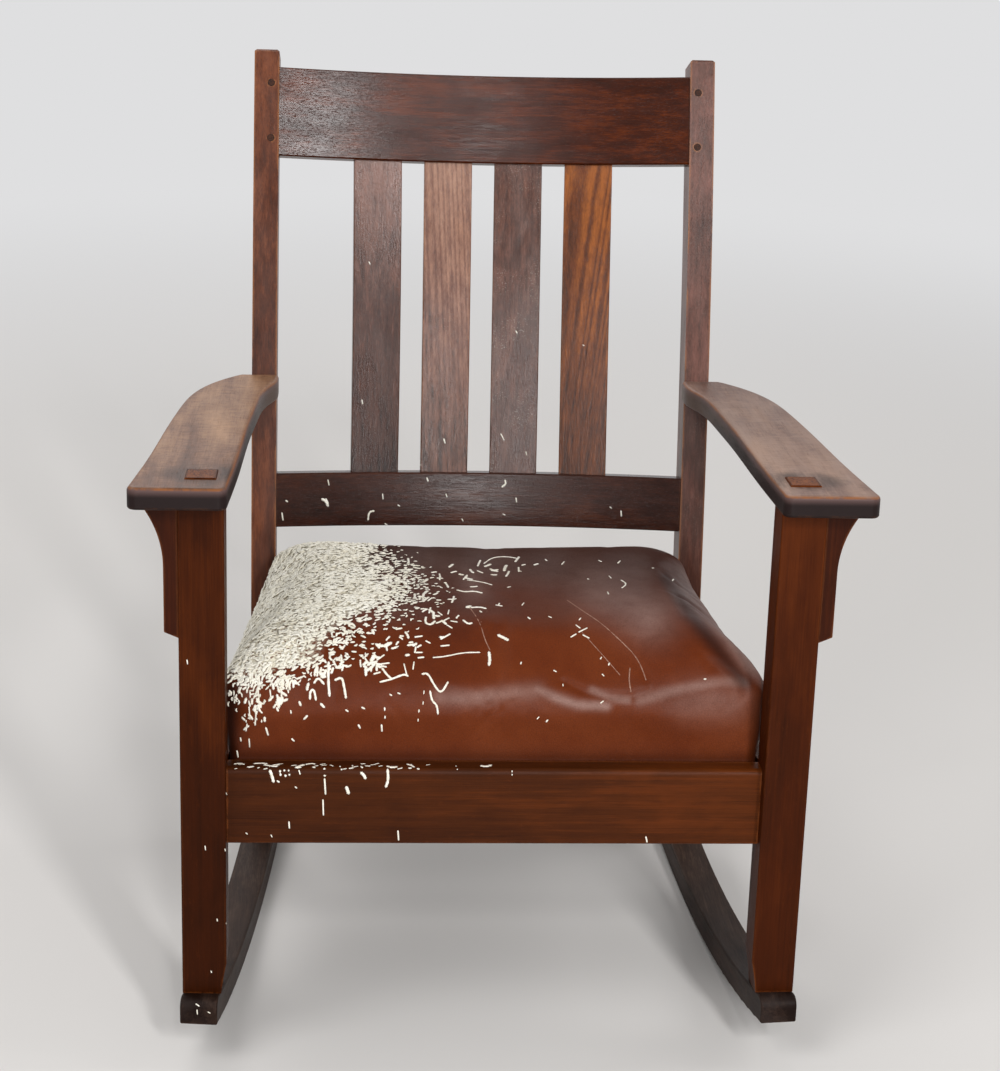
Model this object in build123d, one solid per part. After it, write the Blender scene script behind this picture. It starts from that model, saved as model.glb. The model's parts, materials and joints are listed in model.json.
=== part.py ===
from build123d import *
import os
from math import asin, atan2, cos, degrees, pi, sin, sqrt

os.makedirs("parts", exist_ok=True)

# Mission rocking chair, oak, with a drop-in spring seat in leather.
# Millimetres. +Z is up, the chair faces -Y, and +X is to the right of someone facing it.
# While it is built its posts are upright, y = 0 is the front face of the front posts, and z = 0 touches
# the rockers' arc from below. Saved pieces lean back by rest_lean, as the chair stands when it is empty.
# Pieces are modelled on the right (+X) and mirrored to the left.

# Front posts
front_post_width = 44.5
front_post_depth = 42
front_inner_half = 267.8
front_tenon_width = 30
front_tenon_depth = 33
front_tenon_proud = 1.5
foot_taper_height = 34

# Rear posts, which stand upright and then curve backwards
rear_post_width = 28
rear_post_depth = 42
rear_inner_half = 234
rear_post_setback = 413
rear_post_horn = 16
back_curve_start = 100
back_curve_radius = 2860
post_edge_round = 1.8
post_top_chamfer = 2.4

# Rockers
rocker_radius = 1030
rocker_height = 28
rocker_width = 38
rocker_contact = 200
rocker_toe = 19
rocker_tail = 712
rocker_edge_round = 2
rocker_toe_round = 11
rocker_tail_round = 8
rest_lean = 5.54
foot_tenon_side = 20
foot_tenon_length = 14

# Seat rails
rail_bottom = 207
rail_height = 81
rail_thickness = 22
front_rail_setback = 15
rear_rail_setback = 6
side_rail_inset = 1.2
rail_edge_round = 2
front_rail_top_round = 6
rail_tenon_thickness = 10
rail_tenon_height = 27
rail_tenon_length = 17
rail_tenon_shoulder = 10

# Arms
arm_underside = 565
arm_thickness = 22
arm_overhang = 28
arm_side_overhang = 45.7
arm_front_inner_half = 264
arm_rear_proud = 2.5
arm_corner_round = 9
arm_top_round = 4.5
arm_bottom_round = 2.5
arm_tenon_width = 14
arm_tenon_height = 12
arm_tenon_length = 20
# (share of the arm's length from its front, share of the spread from the rear post to the front)
arm_outer_shares = [(0, 1), (0.27, 0.875), (0.47, 0.81), (0.66, 0.735), (0.82, 0.62), (0.98, 0.25)]
arm_inner_shares = [(0, 1), (0.27, 0.82), (0.53, 0.71), (0.72, 0.56), (0.88, 0.26), (0.96, 0)]

# Corbels under the arms
corbel_drop = 137
corbel_slant = 6
corbel_top_setback = 8.7
corbel_foot_reach = 14
corbel_curve_drop = 65
corbel_thickness = 22
corbel_setback = 4
corbel_edge_round = 1.5

# Back rails and slats
crest_middle_height = 878
crest_height = 100
lower_rail_middle_height = 443.5
lower_rail_height = 62.5
back_rail_thickness = 20
back_rail_setback = 6
back_bow = 25
back_tenon_thickness = 12
back_tenon_length = 18
back_tenon_shoulder = 9
back_rail_ease = 1.5
slat_count = 4
slat_width = 55
slat_spacing = 81.1
slat_thickness = 10
slat_housing = 12
slat_edge_round = 1.2
peg_radius = 4
peg_length = 29
peg_proud = 0.5
peg_from_edge = 9
peg_spacing = 62

# Corner blocks, cleats and screws
block_leg = 58
block_corner_cut = 14
block_height = 36
block_top = 258
cleat_width = 14
cleat_height = 20
cleat_end_gap = 10
cleat_top_gap = 0.3
screw_shank_radius = 2
screw_head_radius = 4.2
screw_head_height = 3
screw_bite = 13
rocker_screw_radius = 2.5
rocker_screw_head_radius = 5
rocker_screw_length = 46
rocker_screw_recess = 5
cleat_screw_count = 3

# Drop-in seat
seat_sink = 18
seat_shoulder_rise = 75
seat_crown_rise = 125
seat_side_gap = 1
seat_front_gap = 1.5
seat_rear_gap = 2
seat_corner_round = 9
seat_top_corner_round = 44
seat_crown_inset = 110
seat_side_levels = 4
seat_crown_levels = 7
seat_side_bulge = 7
seat_front_bulge = 1
leather_thickness = 2
leather_lip = 18
padding_gap = 0.3
seat_frame_width = 44
seat_frame_thickness = 17
seat_dowel_radius = 4
seat_dowel_length = 40
webbing_width = 50
webbing_thickness = 1.6
webbing_end_inset = 22
dust_cover_thickness = 0.8
dust_cover_inset = 20
spring_grid = 3
spring_pitch_x = 112
spring_pitch_y = 104
spring_radius = 29
spring_wire_radius = 1.7
spring_half_turns = 9
padding_depth = 61
burlap_thickness = 1.2
spring_room_wall = 36
tack_head_radius = 4
tack_head_height = 0.9
tack_shank_radius = 0.9
tack_length = 9
tack_end_inset = 34
tack_count = 9

# Clearances
joint_gap = 0.15

# The share of its corners' rounding that the cushion has at its shoulder, and the share of its shoulder's
# rise over the rails by which its rear end is higher than its middle
cushion_shoulder_corner_share = 0.75
seat_rake_share = 0.152

# Worked out from the sizes above
front_outer_half = front_inner_half + front_post_width
arm_outer_half = front_outer_half + arm_side_overhang
corbel_top_reach = arm_side_overhang - corbel_top_setback
front_post_centre = front_inner_half + front_post_width / 2
rear_post_centre = rear_inner_half + rear_post_width / 2
rear_post_top = crest_middle_height + crest_height / 2 + rear_post_horn
rear_outer_half = rear_inner_half + rear_post_width
rail_top = rail_bottom + rail_height
arm_top = arm_underside + arm_thickness
front_rail_back = front_rail_setback + rail_thickness
back_curve_centre = rear_post_setback + back_curve_radius
rocker_front_x = front_outer_half - rocker_width / 2
toe_in = degrees(atan2(rocker_front_x - rear_post_centre, rear_post_setback + rear_post_depth / 2))
rocker_contact_run = rocker_contact / cos(toe_in * pi / 180)
bow_radius = (rear_inner_half**2 + back_bow**2) / (2 * back_bow)
seat_bottom = rail_top - seat_sink
seat_shoulder = rail_top + seat_shoulder_rise
seat_crown = rail_top + seat_crown_rise
spring_top = seat_crown - padding_depth
seat_rear = rear_post_setback + rear_rail_setback - seat_rear_gap
seat_front = front_rail_back + seat_front_gap
seat_middle = (seat_front + seat_rear) / 2
seat_wall_top = rail_top + seat_side_gap
seat_rake = degrees(atan2((seat_shoulder - seat_wall_top) * seat_rake_share, seat_rear - seat_middle))
frame_bottom = seat_bottom + leather_thickness
frame_top = frame_bottom + seat_frame_thickness
frame_inset = leather_thickness + padding_gap


def back_angle(height):
    """Lean of the back, in degrees, at a height above the floor."""
    return degrees(asin(max(height - back_curve_start, 0) / back_curve_radius))


def back_point(angle, behind=0):
    """A point (y, z) on the back's curve, at an angle in degrees and a depth behind its front face."""
    radius = back_curve_radius - behind
    turn = angle * pi / 180
    return (back_curve_centre - radius * cos(turn), back_curve_start + radius * sin(turn))


def back_front_y(height):
    return back_point(back_angle(height))[0]


def side_rail_x(y):
    """Inner face of the side rail, which runs in from the front post to the rear post."""
    run = (y - front_post_depth) / (rear_post_setback - front_post_depth)
    front_x = front_inner_half + side_rail_inset
    rear_x = rear_inner_half + side_rail_inset
    return front_x + (rear_x - front_x) * run


def to_left(shape):
    return mirror(shape, about=Plane.YZ)


def rest_place(rocker_piece):
    """From the chair's own frame to its rest on the floor, centred over its length and leaning back."""
    leaning = Rot(-rest_lean, 0, 0)
    reach = (leaning * rocker_piece).bounding_box()
    return Pos(0, -(reach.min.Y + reach.max.Y) / 2, -reach.min.Z) * leaning


def save(name, *shapes):
    solids = [solid for shape in shapes for solid in shape.solids()]
    placed = [at_rest * solid for solid in solids]
    export_step(placed[0] if len(placed) == 1 else Compound(children=placed), f"parts/{name}.step")


def block_between(x0, x1, y0, y1, z0, z1):
    centre = Pos((x0 + x1) / 2, (y0 + y1) / 2, (z0 + z1) / 2)
    return centre * Box(abs(x1 - x0), abs(y1 - y0), abs(z1 - z0))


def plan_prism(points, bottom, top):
    """A plan outline carried up from one height to another."""
    face = make_face(Polyline(*[(x, y, bottom) for x, y in points], close=True))
    return extrude(face, top - bottom, dir=(0, 0, 1))


def screw(length, radius, head_radius, head_height, grow=0, bore=0):
    """A screw along +Z, its head's outer face at z = 0. Grown, with a bore behind its head, it cuts a hole."""
    shank = Pos(0, 0, (length + grow) / 2) * Cylinder(radius + grow, length + grow)
    head_length = head_height + grow + bore
    head = Pos(0, 0, head_height + grow - head_length / 2) * Cylinder(head_radius + grow, head_length)
    return shank + head


# Rockers

def rocker_place():
    """From the rocker's own frame, where it runs along +Y, to its toed-in place."""
    return Pos(rocker_front_x, 0, 0) * Rot(0, 0, toe_in)


def rocker_arc_z(run, radius):
    return rocker_radius - sqrt(radius**2 - (run - rocker_contact_run) ** 2)


def above_rocker():
    """Everything above the rocker's curved top face, as a cylinder lying across it."""
    lying = Rot(0, 90, 0) * Cylinder(rocker_radius - rocker_height, rocker_width * 4)
    return rocker_place() * Pos(0, rocker_contact_run, rocker_radius) * lying


def foot_top_z(y):
    return rocker_arc_z(y / cos(toe_in * pi / 180), rocker_radius - rocker_height)


def foot_tenon(x, y, grow=0):
    """The square tenon under a post, let into the rocker."""
    side = foot_tenon_side / 2 + grow
    low = foot_top_z(y) - foot_tenon_length - grow
    return block_between(x - side, x + side, y - side, y + side, low, foot_top_z(y) + foot_tenon_length)


def rocker_screw(x, y, grow=0, bore=0):
    low = rocker_arc_z(y / cos(toe_in * pi / 180), rocker_radius) + rocker_screw_recess
    heads = (rocker_screw_head_radius, screw_head_height)
    return Pos(x, y, low) * screw(rocker_screw_length, rocker_screw_radius, *heads, grow, bore)


def rocker():
    inner = rocker_radius - rocker_height
    turn = toe_in * pi / 180
    tail_run = (rocker_tail - sin(turn) * rocker_width / 2) / cos(turn)
    toe_low = (0, -rocker_toe, rocker_arc_z(-rocker_toe, rocker_radius))
    toe_high = (0, -rocker_toe, rocker_arc_z(-rocker_toe, inner))
    tail_low = (0, tail_run, rocker_arc_z(tail_run, rocker_radius))
    tail_high = (0, tail_run, rocker_arc_z(tail_run, inner))
    under = ThreePointArc(toe_low, (0, rocker_contact_run, 0), tail_low)
    over = ThreePointArc(tail_high, (0, rocker_contact_run, rocker_height), toe_high)
    face = make_face([under, Line(tail_low, tail_high), over, Line(toe_high, toe_low)])
    toe_corners = face.vertices().group_by(Axis.Y)[0].sort_by(Axis.Z)
    face = fillet(toe_corners[-1], rocker_toe_round)
    face = fillet(face.vertices().sort_by(Axis.Y)[-2:], rocker_tail_round)
    body = extrude(face, rocker_width / 2, dir=(1, 0, 0), both=True)
    rims = body.faces().filter_by(Axis.X).edges()
    body = rocker_place() * fillet(rims, rocker_edge_round)
    for x, y in foot_centres:
        body -= foot_tenon(x, y, joint_gap)
        body -= rocker_screw(x, y, joint_gap, rocker_screw_recess * 3)
    return body


# Posts

def arm_tenon(grow=0):
    """The stub at the arm's rear end, let into the rear post."""
    y = back_front_y(arm_underside + arm_thickness / 2)
    width = arm_tenon_width / 2 + grow
    height = arm_tenon_height / 2 + grow
    middle = arm_underside + arm_thickness / 2
    y0 = y - arm_tenon_length
    y1 = y + arm_tenon_length + grow
    x = rear_post_centre
    return block_between(x - width, x + width, y0, y1, middle - height, middle + height)


def front_post_tenon(grow=0):
    """The through tenon on top of a front post."""
    side = front_tenon_width / 2 + grow
    depth = front_tenon_depth / 2 + grow
    y = front_post_depth / 2
    x = front_post_centre
    low = arm_underside - arm_thickness
    high = arm_top + front_tenon_proud + grow
    return block_between(x - side, x + side, y - depth, y + depth, low, high)


def front_post():
    x0 = front_inner_half
    x1 = front_outer_half
    body = block_between(x0, x1, 0, front_post_depth, 0, arm_underside)
    body = fillet(body.edges().filter_by(Axis.Z), post_edge_round)
    foot_inside = rocker_front_x - rocker_width / 2
    low = foot_top_z(0) - foot_tenon_length
    high = low + foot_taper_height + foot_tenon_length
    bite = Polyline((x0, 0, high), (x0, 0, low), (foot_inside, 0, low), close=False)
    hollow_middle = ((x0 + foot_inside * 2) / 3, 0, (low + high) / 2)
    hollow = ThreePointArc((foot_inside, 0, low), hollow_middle, (x0, 0, high))
    waste = extrude(make_face([*bite.edges(), hollow]), front_post_depth * 2, dir=(0, 1, 0), both=True)
    body = (body - waste) & above_rocker()
    tenon = front_post_tenon()
    tip = tenon.edges().group_by(Axis.Z)[-1]
    body += chamfer(tip, front_tenon_proud / 2)
    body += foot_tenon(*foot_centres[0])
    body -= rocker_screw(*foot_centres[0], joint_gap)
    body -= front_rail_tenon(joint_gap)
    body -= side_rail_tenons(joint_gap)
    return body


def rear_post_slab(x0, x1, behind):
    """The side outline of the rear post, front face to a depth behind it, between two planes in X."""
    top = back_angle(rear_post_top)
    front_top = (0, *back_point(top))
    back_top = (0, *back_point(top, behind))
    front_start = (0, rear_post_setback, back_curve_start)
    back_start = (0, rear_post_setback + behind, back_curve_start)
    front_arc = ThreePointArc(front_start, (0, *back_point(top / 2)), front_top)
    back_arc = ThreePointArc(back_top, (0, *back_point(top / 2, behind)), back_start)
    feet = Polyline(back_start, (0, rear_post_setback + behind, 0), (0, rear_post_setback, 0), front_start)
    face = make_face([front_arc, Line(front_top, back_top), back_arc, *feet.edges()])
    return Pos(x0, 0, 0) * extrude(face, x1 - x0, dir=(1, 0, 0))


def rear_post():
    body = rear_post_slab(rear_inner_half, rear_outer_half, rear_post_depth)
    top = body.faces().sort_by(Axis.Z)[-1].edges()
    body = chamfer(top, post_top_chamfer)
    body &= above_rocker()
    body += foot_tenon(*foot_centres[1])
    body -= rocker_screw(*foot_centres[1], joint_gap)
    body -= arm_tenon(joint_gap)
    body -= rear_rail_tenon(joint_gap)
    body -= side_rail_tenons(joint_gap)
    for rail_centre, height in back_rails:
        body -= rail_place(rail_centre) * back_rail_tenon(height, joint_gap)
    for peg in crest_pegs(joint_gap):
        body -= peg
    return body


# Seat rails

def cross_rail_tenon(inner_half, rail_front, grow=0):
    x1 = inner_half + rail_tenon_length + grow
    y0 = rail_front + rail_tenon_shoulder / 2 - grow
    y1 = y0 + rail_tenon_thickness + grow * 2
    z0 = rail_bottom + rail_tenon_shoulder - grow
    z1 = z0 + rail_tenon_height + grow * 2
    return block_between(0, x1, y0, y1, z0, z1)


def front_rail_tenon(grow=0):
    return cross_rail_tenon(front_inner_half, front_rail_setback, grow)


def rear_rail_tenon(grow=0):
    return cross_rail_tenon(rear_inner_half, rear_post_setback + rear_rail_setback, grow)


def side_rail_strip(y0, y1, inside, outside, bottom, top):
    """A plan strip along the side rail's line, between two depths and two offsets from its inner face."""
    points = [
        (side_rail_x(y0) + inside, y0),
        (side_rail_x(y0) + outside, y0),
        (side_rail_x(y1) + outside, y1),
        (side_rail_x(y1) + inside, y1),
    ]
    return plan_prism(points, bottom, top)


def side_rail_tenons(grow=0):
    y0 = front_post_depth - rail_tenon_length - grow
    y1 = rear_post_setback + rail_tenon_length + rear_rail_setback / 2 + grow
    inside = (rail_thickness - rail_tenon_thickness) / 2 - grow
    outside = inside + rail_tenon_thickness + grow * 2
    top = rail_top - rail_tenon_shoulder + grow
    return side_rail_strip(y0, y1, inside, outside, top - rail_tenon_height - grow * 2, top)


def front_rail():
    y1 = front_rail_back
    body = block_between(-front_inner_half, front_inner_half, front_rail_setback, y1, rail_bottom, rail_top)
    top_front = body.edges().filter_by(Axis.X).group_by(Axis.Z)[-1].sort_by(Axis.Y)[0]
    body = fillet(top_front, front_rail_top_round)
    bottom_front = body.edges().filter_by(Axis.X).group_by(Axis.Z)[0].sort_by(Axis.Y)[0]
    body = fillet(bottom_front, rail_edge_round)
    body += front_rail_tenon() + to_left(front_rail_tenon())
    for hole in block_screws(front_corner, joint_gap)[:1]:
        body -= hole
        body -= to_left(hole)
    return body


def rear_rail():
    y0 = rear_post_setback + rear_rail_setback
    body = block_between(-rear_inner_half, rear_inner_half, y0, y0 + rail_thickness, rail_bottom, rail_top)
    back_edges = body.edges().filter_by(Axis.X).group_by(Axis.Y)[-1]
    body = fillet(back_edges, rail_edge_round)
    body += rear_rail_tenon() + to_left(rear_rail_tenon())
    for hole in block_screws(rear_corner, joint_gap)[:1]:
        body -= hole
        body -= to_left(hole)
    return body


def side_rail():
    y1 = back_front_y(rail_top) + rail_tenon_length / 2
    body = side_rail_strip(front_post_depth, y1, 0, rail_thickness, rail_bottom, rail_top)
    body -= rear_post_slab(0, front_outer_half, rear_post_depth * 2)
    body += side_rail_tenons()
    holes = [*block_screws(front_corner, joint_gap)[1:], *block_screws(rear_corner, joint_gap)[1:]]
    for hole in holes + cleat_screws(joint_gap):
        body -= hole
    return body


# Corner blocks and cleats

def corner_block(corner):
    """A block glued across an inside corner of the seat frame, clipped where the post's edge is."""
    rail_y, toward = corner
    near = rail_y + toward * block_corner_cut
    far = rail_y + toward * block_leg
    rail_x = side_rail_x(rail_y)
    points = [
        (rail_x - block_leg, rail_y),
        (rail_x - block_corner_cut, rail_y),
        (side_rail_x(near), near),
        (side_rail_x(far), far),
    ]
    body = plan_prism(points, block_top - block_height, block_top)
    for hole in block_screws(corner, joint_gap, block_leg):
        body -= hole
    return body


def block_screws(corner, grow=0, bore=0):
    """Two screws from a corner block, the first into the cross rail and the second into the side rail."""
    rail_y, toward = corner
    height = block_top - block_height / 2
    length = screw_bite * 2
    body = screw(length, screw_shank_radius, screw_head_radius, screw_head_height, grow, bore)
    mid_leg = (block_leg + block_corner_cut) / 2
    into_cross = Rot(toward * 90, 0, 0) * body
    into_side = Rot(0, 90, 0) * body
    cross_place = Pos(side_rail_x(rail_y) - mid_leg, rail_y + toward * screw_bite, height)
    side_y = rail_y + toward * mid_leg
    side_place = Pos(side_rail_x(side_y) - screw_bite, side_y, height)
    return [cross_place * into_cross, side_place * into_side]


def cleat():
    """A strip along the inside of a side rail, which carries the drop-in seat."""
    y0 = front_rail_back + cleat_end_gap
    y1 = rear_post_setback - cleat_end_gap
    top = seat_bottom - cleat_top_gap
    low = top - cleat_height
    body = side_rail_strip(y0, y1, -cleat_width, 0, low, top)
    for hole in cleat_screws(joint_gap, cleat_width):
        body -= hole
    for corner in (front_corner, rear_corner):
        rail_y, toward = corner
        reach = rail_y + toward * (block_leg + cleat_end_gap / 2)
        body -= block_between(0, front_outer_half, rail_y, reach, 0, block_top + joint_gap)
    return body


def cleat_screws(grow=0, bore=0):
    screws = []
    height = seat_bottom - cleat_top_gap - cleat_height / 2
    first = front_rail_back + block_leg + cleat_end_gap * 2
    last = rear_post_setback - block_leg - cleat_end_gap * 2
    heads = (screw_head_radius, screw_head_height)
    body = screw(cleat_width + screw_bite, screw_shank_radius, *heads, grow, bore)
    for index in range(cleat_screw_count):
        y = first + (last - first) * index / (cleat_screw_count - 1)
        screws.append(Pos(side_rail_x(y) - cleat_width, y, height) * Rot(0, 90, 0) * body)
    return screws


# Arms and corbels

def arm_outline(shares, rear_x, front_x):
    length = back_front_y(arm_top) + arm_overhang
    spread = front_x - rear_x
    return [(rear_x + share_x * spread, share_y * length - arm_overhang) for share_y, share_x in shares]


def arm():
    length = back_front_y(arm_top) + arm_overhang
    outer_rear = (rear_outer_half, length - arm_overhang + arm_tenon_length / 2)
    outer = arm_outline(arm_outer_shares, rear_outer_half, arm_outer_half) + [outer_rear]
    inner = arm_outline(arm_inner_shares, rear_inner_half - arm_rear_proud, arm_front_inner_half)
    inner_rear = (inner[-1][0], outer_rear[1])
    outer_curve = Spline(*[(x, y, arm_underside) for x, y in outer], tangents=[(-0.1, 1, 0), (-1, 0.1, 0)])
    inner_curve = Spline(*[(x, y, arm_underside) for x, y in inner], tangents=[(-0.05, 1, 0), (0, 1, 0)])
    front = Line((*outer[0], arm_underside), (*inner[0], arm_underside))
    inner_end = Line((*inner[-1], arm_underside), (*inner_rear, arm_underside))
    rear = Line((*outer_rear, arm_underside), (*inner_rear, arm_underside))
    face = make_face([outer_curve, inner_curve, front, inner_end, rear])
    body = extrude(face, arm_thickness, dir=(0, 0, 1))
    corners = body.edges().filter_by(Axis.Z).sort_by(Axis.Y)[:2]
    body = fillet(corners, arm_corner_round)
    body = fillet(body.faces().sort_by(Axis.Z)[-1].edges().sort_by(Axis.Y)[:-1], arm_top_round)
    body = fillet(body.faces().sort_by(Axis.Z)[0].edges().sort_by(Axis.Y)[:-1], arm_bottom_round)
    body -= rear_post_slab(0, arm_outer_half, rear_post_depth * 2)
    body -= front_post_tenon(joint_gap)
    return body + arm_tenon()


def corbel():
    x0 = front_outer_half
    top = (x0 + corbel_top_reach, corbel_setback, arm_underside)
    bend = (x0 + corbel_foot_reach, corbel_setback, arm_underside - corbel_curve_drop)
    foot = (x0 + corbel_foot_reach, corbel_setback, arm_underside - corbel_drop + corbel_slant)
    heel = (x0, corbel_setback, arm_underside - corbel_drop)
    root = (x0, corbel_setback, arm_underside)
    sweep_in = TangentArc(bend, top, tangent=(0, 0, 1))
    face = make_face([sweep_in, Line(bend, foot), Line(foot, heel), Line(heel, root), Line(root, top)])
    body = extrude(face, corbel_thickness, dir=(0, 1, 0))
    low_edges = body.edges().filter_by(Axis.Y).group_by(Axis.Z)[1]
    return fillet(low_edges.sort_by(Axis.X)[-1], corbel_edge_round)


# Back rails and slats

def rail_place(height):
    """From a back rail's own frame, its front face's ends on y = 0, to its leaning place."""
    angle = back_angle(height)
    y, z = back_point(angle, back_rail_setback)
    return Pos(0, y, z) * Rot(-angle, 0, 0)


def back_rail_blank(height):
    """A bowed bar, eased along its rims and then cut off square between the posts."""
    reach = back_bow + back_rail_thickness
    band = Circle(bow_radius + back_rail_thickness) - Circle(bow_radius)
    window = Pos(0, back_bow) * Rectangle((rear_inner_half + back_tenon_length) * 2, reach * 2)
    section = (Pos(0, back_bow - bow_radius) * band) & window
    body = extrude(section, height / 2, both=True)
    faces = body.faces().sort_by(Axis.Z)
    rims = [edge for face in (faces[0], faces[-1]) for edge in face.edges() if edge.length > rear_inner_half]
    body = chamfer(rims, back_rail_ease)
    return body & block_between(-rear_inner_half, rear_inner_half, -reach, reach, -height, height)


def back_rail_tenon(height, grow=0):
    """The tenon at the right end of a back rail, in the rail's own frame."""
    half = height / 2 - back_tenon_shoulder + grow
    y0 = (back_rail_thickness - back_tenon_thickness) / 2 - grow
    y1 = y0 + back_tenon_thickness + grow * 2
    x0 = rear_inner_half - back_tenon_shoulder
    return block_between(x0, rear_inner_half + back_tenon_length + grow, y0, y1, -half, half)


def crest_pegs(grow=0):
    """Pins through the right post and the crest rail's tenon, square to the leaning post."""
    pegs = []
    for side in (-1, 1):
        y0 = -back_rail_setback - peg_proud
        depth = peg_length + grow
        pin = Rot(-90, 0, 0) * Cylinder(peg_radius + grow, depth)
        place = Pos(rear_inner_half + peg_from_edge, y0 + depth / 2, side * peg_spacing / 2)
        pegs.append(rail_place(crest_middle_height) * place * pin)
    return pegs


def slat(index, grow=0):
    """A slat that follows the back's curve, housed in both rails and turned to the rails' bow."""
    x = (index - (slat_count - 1) / 2) * slat_spacing
    middle_radius = bow_radius + back_rail_thickness / 2
    behind = back_rail_setback + back_bow - bow_radius + sqrt(middle_radius**2 - x**2)
    radius = back_curve_radius - behind
    lower_edge = lower_rail_height / 2 - slat_housing - grow
    upper_edge = crest_height / 2 - slat_housing - grow
    start = back_angle(lower_rail_middle_height) + degrees(lower_edge / radius)
    end = back_angle(crest_middle_height) - degrees(upper_edge / radius)
    middle = (start + end) / 2
    front = behind - slat_thickness / 2 - grow
    back = behind + slat_thickness / 2 + grow
    low_front = (0, *back_point(start, front))
    low_back = (0, *back_point(start, back))
    high_front = (0, *back_point(end, front))
    high_back = (0, *back_point(end, back))
    front_arc = ThreePointArc(low_front, (0, *back_point(middle, front)), high_front)
    back_arc = ThreePointArc(high_back, (0, *back_point(middle, back)), low_back)
    face = make_face([front_arc, Line(high_front, high_back), back_arc, Line(low_back, low_front)])
    body = extrude(face, slat_width / 2 + grow, dir=(1, 0, 0), both=True)
    turn = degrees(asin(x / middle_radius))
    foot = Vector(0, *back_point(start, behind))
    chord = Axis(foot, Vector(0, *back_point(end, behind)) - foot)
    if grow == 0:
        body = fillet(body.edges().filter_by(lambda edge: edge.length > slat_width * 2), slat_edge_round)
    return Pos(x, 0, 0) * body.rotate(chord, -turn)


def back_rail(height_centre, height):
    body = back_rail_blank(height) + back_rail_tenon(height) + to_left(back_rail_tenon(height))
    body = rail_place(height_centre) * body
    for index in range(slat_count):
        body -= slat(index, joint_gap)
    return body


# Drop-in seat

def seat_plan(inset, corner, bulge=0):
    """The seat's plan outline, drawn in by an inset and let out by a share of its bulge."""
    front = seat_front + inset - seat_front_bulge * bulge
    rear = seat_rear - inset
    halves = [side_rail_x(y) - seat_side_gap - inset + seat_side_bulge * bulge for y in (front, rear)]
    corners = [(-halves[0], front), (halves[0], front), (halves[1], rear), (-halves[1], rear)]
    outline = make_face(Polyline(*corners, close=True))
    return fillet(outline.vertices(), corner)


def seat_prism(inset, corner, bottom, top):
    return Pos(0, 0, bottom) * extrude(seat_plan(inset, corner), top - bottom, dir=(0, 0, 1))


def cushion_section(inset, corner_share, bulge, z, rake, wall):
    corner = seat_corner_round + (seat_top_corner_round - seat_corner_round) * corner_share - wall
    raked = Pos(0, seat_middle, z) * Rot(rake, 0, 0) * Pos(0, -seat_middle, 0)
    return raked * seat_plan(inset + wall, corner, bulge)


def cushion(wall):
    """The stuffed seat's form: upright inside the rails, swelling over them, and crowned."""
    sections = []
    for level in range(seat_side_levels):
        share = level / seat_side_levels
        z = seat_wall_top + (seat_shoulder - seat_wall_top) * share - wall * share
        corner_share = cushion_shoulder_corner_share * share
        sections.append(cushion_section(0, corner_share, sin(pi / 2 * share), z, seat_rake * share, wall))
    for level in range(seat_crown_levels + 1):
        share = level / seat_crown_levels
        turn = pi / 2 * share
        z = seat_shoulder + (seat_crown - seat_shoulder) * sin(turn) - wall
        corner_share = cushion_shoulder_corner_share + (1 - cushion_shoulder_corner_share) * share
        inset = seat_crown_inset * (1 - cos(turn))
        sections.append(cushion_section(inset, corner_share, 1, z, seat_rake * cos(turn), wall))
    foot = seat_prism(wall, seat_corner_round - wall, seat_bottom + wall, seat_wall_top)
    return foot + loft(sections, ruled=True)


def tacks(grow=0):
    """Rows of tacks up through the leather's front and rear lips. Its side lips lie on the cleats."""
    body = screw(tack_length, tack_shank_radius, tack_head_radius, tack_head_height, grow)
    rows = (seat_front + leather_lip / 2, seat_rear - leather_lip / 2)
    reach = side_rail_x(seat_rear) - seat_side_gap - tack_end_inset
    offsets = [reach * (2 * index / (tack_count - 1) - 1) for index in range(tack_count)]
    return [Pos(x, y, seat_bottom - tack_head_height) * body for y in rows for x in offsets]


def leather_cover():
    body = cushion(0) - cushion(leather_thickness)
    body -= seat_prism(leather_lip, seat_corner_round / 2, seat_bottom - leather_thickness, frame_bottom)
    for hole in tacks(joint_gap):
        body -= hole
    return body


def seat_padding():
    """Horsehair and felt over the springs, which leaves their room empty below."""
    body = cushion(frame_inset)
    body -= block_between(-front_outer_half, front_outer_half, 0, rocker_tail, 0, frame_top)
    room = frame_inset + spring_room_wall
    return body - seat_prism(room, seat_corner_round, frame_top, spring_top + burlap_thickness)


def seat_frame():
    """The four rails of the seat's own frame: front, rear, right and left."""
    ring = seat_prism(frame_inset, seat_corner_round - frame_inset, frame_bottom, frame_top)
    inner = frame_inset + seat_frame_width
    ring -= seat_prism(inner, seat_corner_round / 2, frame_bottom, frame_top)
    for hole in tacks(joint_gap) + seat_dowels(joint_gap):
        ring -= hole
    y0 = seat_front + inner
    y1 = seat_rear - inner
    wide = front_outer_half
    front = ring & block_between(-wide, wide, 0, y0, 0, frame_top)
    rear = ring & block_between(-wide, wide, y1, rocker_tail, 0, frame_top)
    right = ring & block_between(0, wide, y0, y1, 0, frame_top)
    left = ring & block_between(-wide, 0, y0, y1, 0, frame_top)
    return {"front": front, "rear": rear, "right": right, "left": left}


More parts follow.
